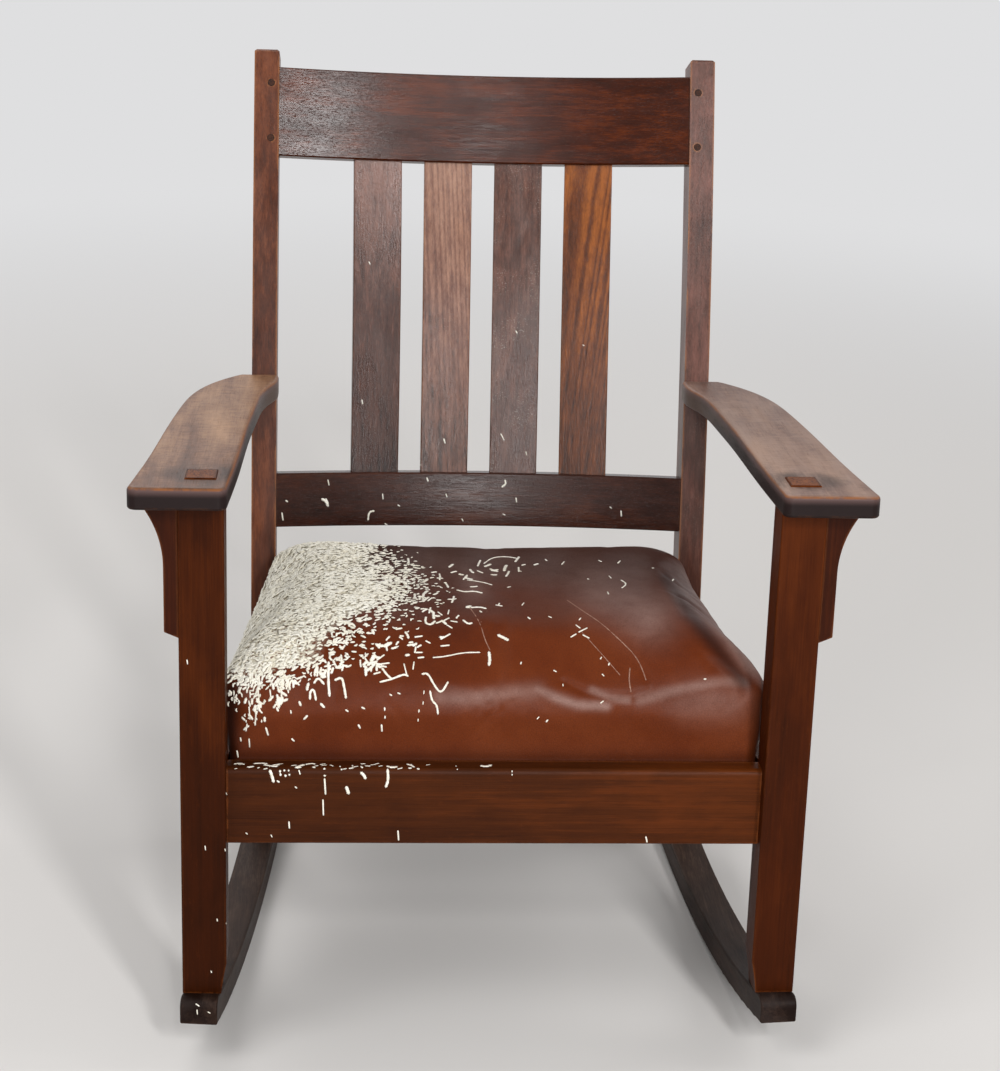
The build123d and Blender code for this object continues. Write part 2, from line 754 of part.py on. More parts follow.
def seat_dowels(grow=0):
    """Two dowels across each corner of the seat's frame."""
    dowels = []
    inner = frame_inset + seat_frame_width
    pin = Rot(90, 0, 0) * Cylinder(seat_dowel_radius + grow, seat_dowel_length + grow * 2)
    middle = (frame_bottom + frame_top) / 2
    for y in (seat_front + inner, seat_rear - inner):
        centre = side_rail_x(y) - seat_side_gap - frame_inset - seat_frame_width / 2
        for side in (-1, 1):
            x = centre + side * seat_frame_width / 4
            dowels.append(Pos(x, y, middle) * pin)
            dowels.append(Pos(-x, y, middle) * pin)
    return dowels


def seat_webbing():
    """Straps lengthwise under the frame, and more straps crosswise under those."""
    straps = []
    lengthwise_low = frame_bottom - webbing_thickness
    for index in range(spring_grid):
        offset = index - (spring_grid - 1) / 2
        x = offset * spring_pitch_x
        y0 = seat_front + webbing_end_inset
        y1 = seat_rear - webbing_end_inset
        half = webbing_width / 2
        straps.append(block_between(x - half, x + half, y0, y1, lengthwise_low, frame_bottom))
        y = seat_middle + offset * spring_pitch_y
        reach = side_rail_x(y) - seat_side_gap - webbing_end_inset
        low = lengthwise_low - webbing_thickness
        straps.append(block_between(-reach, reach, y - half, y + half, low, lengthwise_low))
    return straps


def spring():
    """One coil spring on +Z, in half turns that run on into each other, the end ones level."""
    low = spring_wire_radius
    high = spring_top - frame_bottom - spring_wire_radius
    rise = (high - low) / (spring_half_turns - 2)
    turns = []
    z = low
    for index in range(spring_half_turns):
        side = 1 if index % 2 == 0 else -1
        top = z if index in (0, spring_half_turns - 1) else z + rise
        start = (spring_radius * side, 0, z)
        turns.append(TangentArc(start, (-spring_radius * side, 0, top), tangent=(0, side, 0)))
        z = top
    section = Plane(origin=(spring_radius, 0, low), z_dir=(0, 1, 0)) * Circle(spring_wire_radius)
    return sweep(section, path=Wire(turns))


def springs():
    """The springs stand where the straps cross."""
    body = spring()
    offsets = [index - (spring_grid - 1) / 2 for index in range(spring_grid)]
    places = [(x * spring_pitch_x, seat_middle + y * spring_pitch_y) for x in offsets for y in offsets]
    return [Pos(x, y, frame_bottom) * body for x, y in places]


foot_centres = [
    (front_post_centre, front_post_depth / 2),
    (rear_post_centre, rear_post_setback + rear_post_depth / 2),
]
back_rails = [(crest_middle_height, crest_height), (lower_rail_middle_height, lower_rail_height)]
front_corner = (front_rail_back, 1)
rear_corner = (rear_post_setback + rear_rail_setback, -1)

rocker_right = rocker()
at_rest = rest_place(rocker_right)
front_post_right = front_post()
rear_post_right = rear_post()
arm_right = arm()
corbel_right = corbel()
side_rail_right = side_rail()
for name, piece in (
    ("rocker", rocker_right),
    ("front_post", front_post_right),
    ("rear_post", rear_post_right),
    ("arm", arm_right),
    ("corbel", corbel_right),
    ("side_seat_rail", side_rail_right),
):
    save(f"{name}_right", piece)
    save(f"{name}_left", to_left(piece))

save("front_seat_rail", front_rail())
save("rear_seat_rail", rear_rail())
crest = back_rail(crest_middle_height, crest_height)
for peg in crest_pegs(joint_gap):
    crest -= peg
    crest -= to_left(peg)
save("crest_rail", crest)
save("lower_back_rail", back_rail(lower_rail_middle_height, lower_rail_height))
for index in range(slat_count):
    save(f"back_slat_{index + 1}", slat(index))
pegs = crest_pegs()
save("crest_rail_pegs", *pegs, *[to_left(peg) for peg in pegs])

for name, corner in (("front_corner_block", front_corner), ("rear_corner_block", rear_corner)):
    block_right = corner_block(corner)
    save(f"{name}_right", block_right)
    save(f"{name}_left", to_left(block_right))
screws = [*block_screws(front_corner), *block_screws(rear_corner)]
save("corner_block_screws", *screws, *[to_left(piece) for piece in screws])
cleat_right = cleat()
save("seat_cleat_right", cleat_right)
save("seat_cleat_left", to_left(cleat_right))
screws = cleat_screws()
save("seat_cleat_screws", *screws, *[to_left(piece) for piece in screws])
screws = [rocker_screw(x, y) for x, y in foot_centres]
save("rocker_screws", *screws, *[to_left(piece) for piece in screws])

for name, piece in seat_frame().items():
    save(f"seat_frame_{name}", piece)
save("seat_frame_dowels", *seat_dowels())
save("seat_webbing", *seat_webbing())
save("seat_springs", *springs())
burlap_inset = frame_inset + spring_room_wall
save("spring_burlap", seat_prism(burlap_inset, seat_corner_round, spring_top, spring_top + burlap_thickness))
save("seat_padding", seat_padding())
save("leather_cover", leather_cover())
save("upholstery_tacks", *tacks())
dust_cover_top = frame_bottom - webbing_thickness * 2
dust_cover_bottom = dust_cover_top - dust_cover_thickness
save("dust_cover", seat_prism(dust_cover_inset, seat_corner_round, dust_cover_bottom, dust_cover_top))
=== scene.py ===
import bpy
import bmesh
import json
import numpy
from math import atan2, cos, pi, radians, sin
from random import Random
from mathutils import Matrix, Vector
from mathutils.bvhtree import BVHTree


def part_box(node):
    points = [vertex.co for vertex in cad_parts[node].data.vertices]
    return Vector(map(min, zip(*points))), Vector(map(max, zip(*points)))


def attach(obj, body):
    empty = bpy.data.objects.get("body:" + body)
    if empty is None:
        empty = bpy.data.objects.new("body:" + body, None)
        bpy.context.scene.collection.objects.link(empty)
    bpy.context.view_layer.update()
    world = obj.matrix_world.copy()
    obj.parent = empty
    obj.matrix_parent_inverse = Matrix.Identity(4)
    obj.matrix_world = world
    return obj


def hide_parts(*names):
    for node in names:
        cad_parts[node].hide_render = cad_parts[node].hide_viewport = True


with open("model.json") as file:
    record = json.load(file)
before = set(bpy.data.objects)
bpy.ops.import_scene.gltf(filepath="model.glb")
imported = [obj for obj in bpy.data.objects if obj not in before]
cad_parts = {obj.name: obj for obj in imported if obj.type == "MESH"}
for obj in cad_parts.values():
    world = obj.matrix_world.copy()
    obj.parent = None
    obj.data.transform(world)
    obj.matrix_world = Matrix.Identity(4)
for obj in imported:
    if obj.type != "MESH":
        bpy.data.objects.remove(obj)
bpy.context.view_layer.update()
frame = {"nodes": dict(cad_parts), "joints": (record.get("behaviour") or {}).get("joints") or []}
nodes = frame["nodes"]
print("frame loaded:", len(nodes), "nodes")


# The chair's own upright coordinates, in metres: y = 0 is the front of the front posts, and z = 0 touches
# the rockers. The seat lifts out square to the rails, so its joint's axis gives the lean, and the rear rail
# gives the origin.
rearRail = {"innerFaceY": 0.419, "bottomZ": 0.207}
liftAxis = Vector(frame["joints"][0]["axis"])
lean = atan2(liftAxis.y, liftAxis.z)
upright = Matrix.Rotation(lean, 4, "X")
railPoints = [upright @ vertex.co for vertex in nodes["rear_seat_rail"].data.vertices]
chairOrigin = Vector((
    0,
    min(point.y for point in railPoints) - rearRail["innerFaceY"],
    min(point.z for point in railPoints) - rearRail["bottomZ"],
))
toRest = upright.inverted() @ Matrix.Translation(chairOrigin)
toChair = toRest.inverted()


# Camera
shot = {
    "place": (-0.1459, -2.0613, 1.1585),  # in the chair's upright coordinates
    "yaw": 3.92,
    "pitch": 16.76,
    "roll": 1.77,
    "focalPixels": 2250,
    "size": (1000, 1071),
    "sensor": 36,
    "clip": (0.05, 50),
}


def addCamera():
    yaw, pitch, roll = (radians(shot[key]) for key in ("yaw", "pitch", "roll"))
    forward = Vector((sin(yaw) * cos(pitch), cos(yaw) * cos(pitch), -sin(pitch)))
    level = Vector((cos(yaw), -sin(yaw), 0))
    rise = level.cross(forward)
    right = level * cos(roll) + rise * sin(roll)
    up = rise * cos(roll) - level * sin(roll)
    turn = Matrix((right, up, -forward)).transposed().to_4x4()
    bpy.ops.object.camera_add()
    camera = bpy.context.object
    camera.name = "camera"
    camera.matrix_world = toRest @ Matrix.Translation(shot["place"]) @ turn
    camera.data.sensor_width = shot["sensor"]
    camera.data.lens = shot["sensor"] * shot["focalPixels"] / max(shot["size"])
    camera.data.clip_start, camera.data.clip_end = shot["clip"]
    bpy.context.scene.camera = camera
    return camera


camera = addCamera()
bpy.context.view_layer.update()
cameraPlace = camera.matrix_world.translation.copy()
cameraTurn = camera.matrix_world.to_3x3()


def sightLine(pixelX, pixelY):
    width, height = shot["size"]
    away = Vector((pixelX - width / 2, height / 2 - pixelY, -shot["focalPixels"]))
    return (cameraTurn @ away).normalized()


def pixelsOf(points):
    width, height = shot["size"]
    seen = (numpy.asarray(points) - numpy.array(cameraPlace)) @ numpy.array(cameraTurn)
    scale = shot["focalPixels"] / -seen[:, 2]
    return width / 2 + seen[:, 0] * scale, height / 2 - seen[:, 1] * scale


# Shader maths
class Signal:
    def __init__(self, tree, socket):
        self.tree = tree
        self.socket = socket

    def node(self, kind, settings=None, sockets=None, output=0):
        made = self.tree.nodes.new(kind)
        for key, value in (settings or {}).items():
            if key != "stops":
                setattr(made, key, value)
                continue
            ramp = made.color_ramp
            while len(ramp.elements) < len(value):
                ramp.elements.new(0.5)
            for element, (place, colour) in zip(ramp.elements, value):
                element.position = place
                element.color = (*colour, 1)
        for key, value in (sockets or {}).items():
            if isinstance(value, Signal):
                self.tree.links.new(value.socket, made.inputs[key])
            else:
                made.inputs[key].default_value = value
        return Signal(self.tree, made.outputs[output])

    def maths(self, operation, first, second=0.0):
        return self.node("ShaderNodeMath", {"operation": operation}, {0: first, 1: second})

    def __add__(self, other):
        return self.maths("ADD", self, other)

    def __sub__(self, other):
        return self.maths("SUBTRACT", self, other)

    def __mul__(self, other):
        return self.maths("MULTIPLY", self, other)

    def __rsub__(self, other):
        return self.maths("SUBTRACT", other, self)

    __radd__ = __add__
    __rmul__ = __mul__

    def power(self, exponent):
        return self.maths("POWER", self, exponent)

    def sine(self):
        return self.maths("SINE", self)

    def size(self):
        return self.maths("ABSOLUTE", self)

    def most(self, other):
        return self.maths("MAXIMUM", self, other)

    def between(self, low, high):
        settings = {"interpolation_type": "SMOOTHSTEP"}
        return self.node("ShaderNodeMapRange", settings, {"Value": self, "From Min": low, "From Max": high})

    def blend(self, first, second):
        sockets = {"Factor": self, 6: first, 7: second}
        return self.node("ShaderNodeMix", {"data_type": "RGBA"}, sockets, 2)

    def noise(self, scale, detail=2.0, roughness=0.5, distortion=0.0):
        sockets = {"Scale": scale, "Detail": detail, "Roughness": roughness, "Distortion": distortion}
        return self.node("ShaderNodeTexNoise", None, {"Vector": self, **sockets})

    def stretched(self, scales, place=(0, 0, 0), turn=(0, 0, 0)):
        sockets = {"Vector": self, "Location": place, "Rotation": turn, "Scale": scales}
        return self.node("ShaderNodeMapping", None, sockets)

    # A value that was painted on the mesh's points
    def painted(self, name):
        return self.node("ShaderNodeAttribute", {"attribute_name": name}, None, 2)

    def parts(self):
        split = self.tree.nodes.new("ShaderNodeSeparateXYZ")
        self.tree.links.new(self.socket, split.inputs[0])
        return [Signal(self.tree, output) for output in split.outputs]

    def joined(self, x, y, z):
        return self.node("ShaderNodeCombineXYZ", None, {0: x, 1: y, 2: z})


# An sRGB code as linear light
def colour(code):
    values = [int(code[place:place + 2], 16) / 255 for place in (1, 3, 5)]
    return [value / 12.92 if value <= 0.04045 else ((value + 0.055) / 1.055) ** 2.4 for value in values]


def paint(code):
    return (*colour(code), 1)


def newMaterial(name):
    material = bpy.data.materials.new(name)
    material.use_nodes = True
    tree = material.node_tree
    tree.nodes.clear()
    shader = tree.nodes.new("ShaderNodeBsdfPrincipled")
    output = tree.nodes.new("ShaderNodeOutputMaterial")
    tree.links.new(shader.outputs[0], output.inputs[0])
    places = tree.nodes.new("ShaderNodeTexCoord")
    return material, shader, Signal(tree, places.outputs["Object"])


def finish(shader, links, values):
    for key, signal in links.items():
        signal.tree.links.new(signal.socket, shader.inputs[key])
    for key, value in values.items():
        shader.inputs[key].default_value = value


def bump(height, strength, distance):
    return height.node("ShaderNodeBump", None, {"Height": height, "Strength": strength, "Distance": distance})


# How far a point is round an edge, from 0 on a flat face
def edgeMask(signal, radius):
    rounded = signal.node("ShaderNodeBevel", {"samples": 6}, {"Radius": radius})
    true = signal.node("ShaderNodeNewGeometry", None, None, 3)
    facing = signal.node("ShaderNodeVectorMath", {"operation": "DOT_PRODUCT"}, {0: rounded, 1: true}, 1)
    return 1 - facing


# Oak, fumed and oiled long ago: each kind of piece has its own tones, figure and wear, in the order of
# oakKeys, and then what it has beyond them
oakKeys = (
    "dark", "mid", "light", "rub", "gloss", "shine", "rings", "streaks", "patches", "pores", "veil", "worn",
)
# Among these tones is a painted sheen in pale pinkish-grey patches, and a slope of tone along each piece that
# paints light and shade
oakLooks = {
    "post": ("#1c0901", "#351302", "#562506", "#8e4c1f", 0.4, 0.06, 0.02, 0.25, 0.55, 0.15, 0, 0.35,
        {"grain": 0.5, "slope": 0.4, "end": "#854d2a"}),
    "rearPost": ("#260f07", "#522815", "#7c452a", "#a86e42", 0.3, 0.15, 0.04, 0.5, 0.85, 0.4, 0.06, 0.6,
        {"slope": 0.2}),
    "rail": ("#260e03", "#451f07", "#662f0d", "#95532a", 0.36, 0.08, 0.02, 0.35, 0.4, 0.3, 0, 0.5,
        {"grain": 0.7, "slope": 0.5}),
    "crest": ("#1c0801", "#3a1301", "#6b2c05", "#5f3318", 0.18, 0.16, 0, 0.45, 0.55, 0.25, 0, 0.2,
        {"brushed": 0.6}),
    "lowerRail": ("#1a0904", "#36180d", "#582d18", "#5d3a2a", 0.18, 0.17, 0, 0.4, 0.5, 0.25, 0, 0.3,
        {"brushed": 0.6}),
    "slatDark": ("#210e08", "#482a20", "#744c3e", "#8d6450", 0.2, 0.2, 0.08, 0.55, 0.35, 0.4, 0.06, 0.3,
        {"brushed": 0.7, "slope": 1.8}),
    "slatLight": ("#331a0f", "#75472c", "#a86f47", "#a87852", 0.2, 0.2, 0.22, 0.55, 0.3, 0.4, 0.03, 0.3,
        {"brushed": 0.7, "slope": 1.4}),
    # arm: the sides tone is painted shade on the faces that turn away from the top
    "arm": ("#2c1a13", "#6f4b36", "#ac8463", "#8e5527", 0.4, 0.16, 0, 0.2, 1.15, 0.15, 0.15, 0.45,
        {"cross": 0.6, "sides": "#1b0f0e", "grain": 0.45}),
    "rocker": ("#170b07", "#382820", "#5c483b", "#4f3426", 0.45, 0.09, 0.05, 0.4, 0.5, 0.35, 0.04, 0.35,
        {"slope": 1}),
    "corbel": ("#1c0902", "#361304", "#56260a", "#94552a", 0.4, 0.08, 0.03, 0.3, 0.4, 0.2, 0, 0.35,
        {"grain": 0.6}),
}
# Look, the chair's axis that its grain follows, and any tones of its own
oakPieces = {
    "crest_rail": ("crest", "x", {}),
    "lower_back_rail": ("lowerRail", "x", {}),
    "front_seat_rail": ("rail", "x", {}),
    "rear_seat_rail": ("rail", "x", {}),
    "back_slat_1": ("slatDark", "z", {"tilt": 0.05}),
    "back_slat_2": ("slatLight", "z", {
        "mid": "#724a3a", "light": "#a0765f", "rings": 0.2, "tilt": -0.05, "dust": 0.1,
    }),
    "back_slat_3": ("slatDark", "z", {"dust": 0.35, "slope": 0.2, "veil": 0.15}),
    "back_slat_4": ("slatLight", "z", {
        "mid": "#66361a", "light": "#985726", "rings": 0.32, "tilt": 0.14, "veil": 0,
    }),
    "rear_post_right": ("rearPost", "z", {"mid": "#4e2c21", "light": "#774a3e", "veil": 0.1, "dust": 0.1}),
    "front_post_right": ("post", "z", {"mid": "#3d1704", "light": "#5c290a"}),
    # The right arm's paler, greyer tones and its strong pale patches are a painted sheen
    "arm_right": ("arm", "y", {"mid": "#73564a", "light": "#a2826f", "veil": 0.35}),
}
for side in ("left", "right"):
    for name, look in (("front_post", "post"), ("rear_post", "rearPost"), ("corbel", "corbel")):
        oakPieces.setdefault(f"{name}_{side}", (look, "z", {}))
    for name, look in (("arm", "arm"), ("rocker", "rocker"), ("side_seat_rail", "rail")):
        oakPieces.setdefault(f"{name}_{side}", (look, "y", {"slope": 0} if look == "rail" else {}))


# An arm's sides are painted shade, darker than its top, paler towards the rear as a painted sheen and with a
# painted highlight along their upper edge; the wood about its tenon is darker, and use has rubbed the arm's
# rounded edge bare
armUse = {
    "tenonHalo": "#33211a",
    "tenonHaloReach": (0.02, 0.042),  # from the tenon's middle
    "tenonHaloNarrowed": 0.8,
    "tenonHaloBehind": 0.005,
    "sideSheen": "#5d4a40",
    "paintedEdgeHighlight": "#6b5350",
    "paintedEdgeHighlightRise": (0, 0.008),
}


def armWear(own, name, middle, facing, scuffs, colours, look):
    low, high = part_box(name.replace("arm", "front_post"))
    tenon = upright @ ((low + high) / 2) - middle
    x, y, z = own.parts()
    reach = own.joined((x - tenon.x) * armUse["tenonHaloNarrowed"], y - tenon.y - armUse["tenonHaloBehind"], 0)
    reach = reach.node("ShaderNodeVectorMath", {"operation": "LENGTH"}, {0: reach}, 1)
    # The arm is darker in a patchy halo about the tenon, reaching furthest behind it
    haloed = (1 - reach.between(*armUse["tenonHaloReach"])) * scuffs.between(0.25, 0.6) * 0.8
    colours = haloed.blend(colours, paint(armUse["tenonHalo"]))
    # The sides are painted paler and greyer towards the rear: a painted sheen
    sideSheen = (y * 2.5 + scuffs * 0.8).between(0.35, 0.95) * 0.8
    sides = sideSheen.blend(paint(look["sides"]), paint(armUse["sideSheen"]))
    # A pale band along the top of the sides is a painted highlight on the rounded edge
    sides = (z.between(*armUse["paintedEdgeHighlightRise"]) * 0.6).blend(sides, paint(armUse["paintedEdgeHighlight"]))
    # Faces that turn away from the top take the dark sides tone: painted shade
    colours = facing.between(0.55, 0.9).blend(sides, colours)
    edge = facing.between(0.35, 0.65) * (1 - facing.between(0.8, 0.95)) * scuffs.between(0.3, 0.6)
    return (edge * 0.7).blend(colours, paint(look["rub"]))


# Marks in a metre, along the grain, across it and into the wood
oakMarks = {
    "streaks": (5, 170, 170),
    "hairs": (22, 900, 900),
    "brush": (14, 480, 480),
    "patches": (4, 13, 13),
    "mottle": (16, 34, 34),
    "pores": (60, 1300, 1300),
    "flecks": (90, 320, 60),
    "scuffs": (13, 70, 70),
    "figure": (120, 42, 60),
    "hazeAndSheen": (7, 26, 26),
}
edgeRadius = 0.0045


# Grain runs along one of the chair's own axes. Over it lie patches, streaks, rings, pores, flecks and wear,
# with a painted sheen in pale patches and painted light and shade as a tone that slopes along the piece.
def oakMaterial(name, look, along, seed):
    dice = Random(seed)
    material, shader, place = newMaterial(name)
    low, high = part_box(name)
    middle = upright @ ((low + high) / 2)
    own = place.stretched((1, 1, 1), tuple(-middle), (lean, 0, 0))
    x, y, z = own.parts()
    run, across, deep = {"x": (x, z, y), "y": (y, x, z), "z": (z, x, y)}[along]
    shift = [dice.uniform(-5, 5) for axis in range(3)]
    grain = own.joined(run + shift[0], across + shift[1], deep + shift[2])
    streaks = grain.stretched(oakMarks["streaks"]).noise(1, 4, 0.62, 0.15) - 0.5
    hairs = grain.stretched(oakMarks["hairs"]).noise(1, 2, 0.6) - 0.5
    brush = grain.stretched(oakMarks["brush"]).noise(1, 3, 0.6, 0.2) - 0.5
    patches = grain.stretched(oakMarks["patches"]).noise(1, 3, 0.55, 0.5) - 0.5
    mottle = grain.stretched(oakMarks["mottle"]).noise(1, 3, 0.6, 0.6) - 0.5
    pores = grain.stretched(oakMarks["pores"]).noise(1, 2, 0.55).between(0.56, 0.7)
    flecks = grain.stretched(oakMarks["flecks"]).noise(1, 2, 0.5, 0.8).between(0.6, 0.76)
    scuffs = grain.stretched(oakMarks["scuffs"]).noise(1, 4, 0.7)
    facing = own.node("ShaderNodeNewGeometry", None, None, 1).parts()[2]
    fine = look.get("grain", 1)
    tone = patches * (1.5 * look["patches"]) + streaks * (1.3 * look["streaks"]) + brush * (0.4 * fine) + 0.5
    # The tone that slopes along the piece is painted light and shade: uprights grow darker towards the
    # bottom, below the arms, and rails and rockers lighter towards one end
    tone = tone + mottle * (0.5 * fine) + hairs * (0.35 * fine) + run * look.get("slope", 0)
    if look["rings"]:
        wander = grain.stretched((1.6, 5, 0)).noise(1, 2) - 0.5
        heart = own.joined(0, across - run * look.get("tilt", 0) + dice.uniform(0.03, 0.06), 0.04)
        reach = heart.node("ShaderNodeVectorMath", {"operation": "LENGTH"}, {0: heart}, 1)
        uneven = own.joined(shift[0], reach, shift[1]).noise(150, 1) - 0.5
        rings = ((reach * 1250 + wander * 8 + uneven * 14).sine() * 0.5 + 0.5).power(1.6)
        rings = rings * (run.between(-0.2, 0.08) * 0.75 + 0.25)
        tone = tone - rings * look["rings"] + look["rings"] * 0.3
        pores = pores * (0.4 + rings * 0.6)
    if "cross" in look:
        figure = grain.stretched(oakMarks["figure"]).noise(1, 5, 0.72, 1.6) - 0.5
        rubbedMiddle = 0.35 - (run + 0.06).size() * 1.6
        tone = tone + figure * look["cross"] + rubbedMiddle * 0.45
    colours = tone.node("ShaderNodeValToRGB", {"stops": [
        (0.12, colour(look["dark"])), (0.5, colour(look["mid"])), (0.9, colour(look["light"])),
    ]}, {"Fac": tone})
    colours = (flecks * 0.14).blend(colours, paint(look["light"]))
    colours = (pores * look["pores"]).blend(colours, paint(look["dark"]))
    # Patchy haze roughens the finish and also carries a painted sheen: pale pinkish-grey patches that stand
    # for reflections
    hazeAndSheen = grain.stretched(oakMarks["hazeAndSheen"]).noise(1, 4, 0.65, 0.3).between(0.38, 0.72)
    colours = (hazeAndSheen * look["veil"]).blend(colours, paint("#9a8a84"))
    if "sides" in look:
        colours = armWear(own, name, middle, facing, scuffs, colours, look)
    if "dust" in look:
        grit = own.noise(760, 2, 0.6).between(0.6, 0.68) * own.noise(19, 3).between(0.42, 0.6)
        colours = (grit * look["dust"]).blend(colours, paint("#c9bfb3"))
    worn = edgeMask(own, edgeRadius)
    rubbed = (worn * 7 * scuffs.between(0.36, 0.62)).between(0.08, 0.75)
    colours = (rubbed * look["worn"]).blend(colours, paint(look["rub"]))
    if "end" in look:
        ends = scuffs * 0.4 + own.noise(520, 3, 0.6) * 0.6
        tenon = ends.between(0.42, 0.58).blend(paint("#4a2412"), paint(look["end"]))
        # A dark rim along the tenon's edges is painted shade in the gap round it
        tenon = (worn * 9).between(0.05, 0.7).blend(tenon, paint("#27160f"))
        colours = facing.between(0.8, 0.95).blend(colours, tenon)
    height = (1 - pores) * 0.3 + hairs * 0.5 + brush * look.get("brushed", 0) + streaks * 0.5
    roughness = look["gloss"] + pores * 0.12 + (scuffs - 0.5) * 0.18 + hazeAndSheen * 0.08
    links = {"Base Color": colours, "Roughness": roughness.most(0.16), "Normal": bump(height, 0.25, 0.0005)}
    finish(shader, links, {"Specular IOR Level": look["shine"]})
    return material


def dress(node, material):
    mesh = nodes[node].data
    mesh.materials.clear()
    mesh.materials.append(material)


for seed, (name, (look, along, tones)) in enumerate(oakPieces.items()):
    *values, extras = oakLooks[look]
    dress(name, oakMaterial(name, {**dict(zip(oakKeys, values)), **extras, **tones}, along, seed))
print("oak finished")


# Plain timber inside the seat and its frame
def timberMaterial(name, dark, light, along):
    material, shader, place = newMaterial(name)
    own = place.stretched((1, 1, 1), (0, 0, 0), (lean, 0, 0))
    scales = {"x": (9, 150, 150), "y": (150, 9, 150)}[along]
    lines = own.stretched(scales).noise(1, 4, 0.6, 0.3)
    patches = own.noise(14, 3)
    tone = (lines * 0.7 + patches * 0.5 - 0.1).between(0.15, 0.85)
    colours = tone.blend(paint(dark), paint(light))
    links = {"Base Color": colours, "Roughness": 0.6 + lines * 0.2, "Normal": bump(lines, 0.25, 0.0006)}
    finish(shader, links, {})
    return material


blockOak = timberMaterial("block_oak", "#5a3a22", "#8a6540", "x")
cleatOak = timberMaterial("cleat_oak", "#52351f", "#82603c", "y")
frameCross = timberMaterial("frame_cross", "#8f6b42", "#c09a66", "x")
frameLong = timberMaterial("frame_long", "#8f6b42", "#c09a66", "y")
for side in ("left", "right"):
    dress(f"front_corner_block_{side}", blockOak)
    dress(f"rear_corner_block_{side}", blockOak)
    dress(f"seat_cleat_{side}", cleatOak)
    dress(f"seat_frame_{side}", frameLong)
for end in ("front", "rear"):
    dress(f"seat_frame_{end}", frameCross)
dress("seat_frame_dowels", frameLong)


def pegMaterial():
    material, shader, place = newMaterial("peg_oak")
    spots = place.noise(420, 3, 0.6)
    colours = spots.between(0.35, 0.7).blend(paint("#221009"), paint("#452617"))
    links = {"Base Color": colours, "Roughness": 0.4 + spots * 0.3, "Normal": bump(spots, 0.3, 0.0005)}
    finish(shader, links, {"Specular IOR Level": 0.15})
    return material


dress("crest_rail_pegs", pegMaterial())


def steelMaterial(name, dark, light, rust):
    material, shader, place = newMaterial(name)
    stains = place.noise(130, 4, 0.65)
    grains = place.noise(900, 2)
    spread = (stains * 0.8 + grains * 0.3).between(0.45, 0.75)
    colours = spread.blend(grains.blend(paint(dark), paint(light)), paint(rust))
    links = {
        "Base Color": colours,
        "Metallic": 1 - spread * 0.75,
        "Roughness": 0.35 + spread * 0.4,
        "Normal": bump(stains, 0.2, 0.0004),
    }
    finish(shader, links, {})
    return material


screwSteel = steelMaterial("screw_steel", "#3a3733", "#6a655f", "#4a2c1a")
springSteel = steelMaterial("spring_steel", "#33343a", "#6b6d75", "#3d2a1e")
for name in ("corner_block_screws", "seat_cleat_screws", "rocker_screws", "upholstery_tacks"):
    dress(name, screwSteel)
dress("seat_springs", springSteel)


# Woven cloths: jute webbing, burlap and the black dust cover
def wovenMaterial(name, dark, light, threads, roughness):
    material, shader, place = newMaterial(name)
    own = place.stretched((1, 1, 1), (0, 0, 0), (lean, 0, 0))
    x, y, z = own.parts()
    slub = own.noise(60, 3) - 0.5
    warp = ((x * threads + slub) * pi).sine().size()
    weft = ((y * threads + slub) * pi).sine().size()
    over = ((x * threads * 0.5).sine() * (y * threads * 0.5).sine()).between(-0.3, 0.3)
    weave = warp * over + weft * (1 - over)
    fuzz = own.noise(threads * 2.5, 2)
    colours = (weave * 0.7 + fuzz * 0.4 - 0.1).between(0.1, 0.9).blend(paint(dark), paint(light))
    links = {"Base Color": colours, "Normal": bump(weave, 0.6, 0.0008)}
    finish(shader, links, {"Roughness": roughness})
    return material


dress("seat_webbing", wovenMaterial("jute_webbing", "#6e5535", "#a98a5c", 420, 0.85))
dress("spring_burlap", wovenMaterial("spring_burlap", "#6a5232", "#a08255", 520, 0.9))
dress("dust_cover", wovenMaterial("black_cambric", "#0b0b0c", "#1d1d20", 900, 0.8))
print("inner pieces finished")


# Drop-in seat: leather over hair and felt, with the form that its frame and springs give it
seat = {
    "bottom": 0.2705,
    "wallTop": 0.289,
    "shoulder": 0.363,
    "crown": 0.411,
    "front": 0.0385,
    "rear": 0.417,
    "sideFront": (0.042, 0.269),  # the side rails' inner faces: y, then x
    "sideRear": (0.413, 0.2352),
    "sideGap": 0.001,
    "sideBulge": (0.012, 0.005),  # in front, then at the rear
    "frontBulge": 0.001,
    "corner": 0.009,
    "shoulderCorner": 0.02,
    "crownCorner": 0.044,
    "crownInset": 0.11,
    "wallLevels": 8,
    "crownLevels": 12,
    "hubRise": 0.001,
    "rake": 3.4,
    "drawnIn": 0.0015,
    "voxel": 0.005,
    "pressure": 4,
    "frames": 20,
    "swell": 0.008,
    "swellOver": 0.04,  # the height above the wall in which the leather comes free
    "stillness": 1e-9,
    "foot": 0.007,
}
seatMiddleY = (seat["front"] + seat["rear"]) / 2


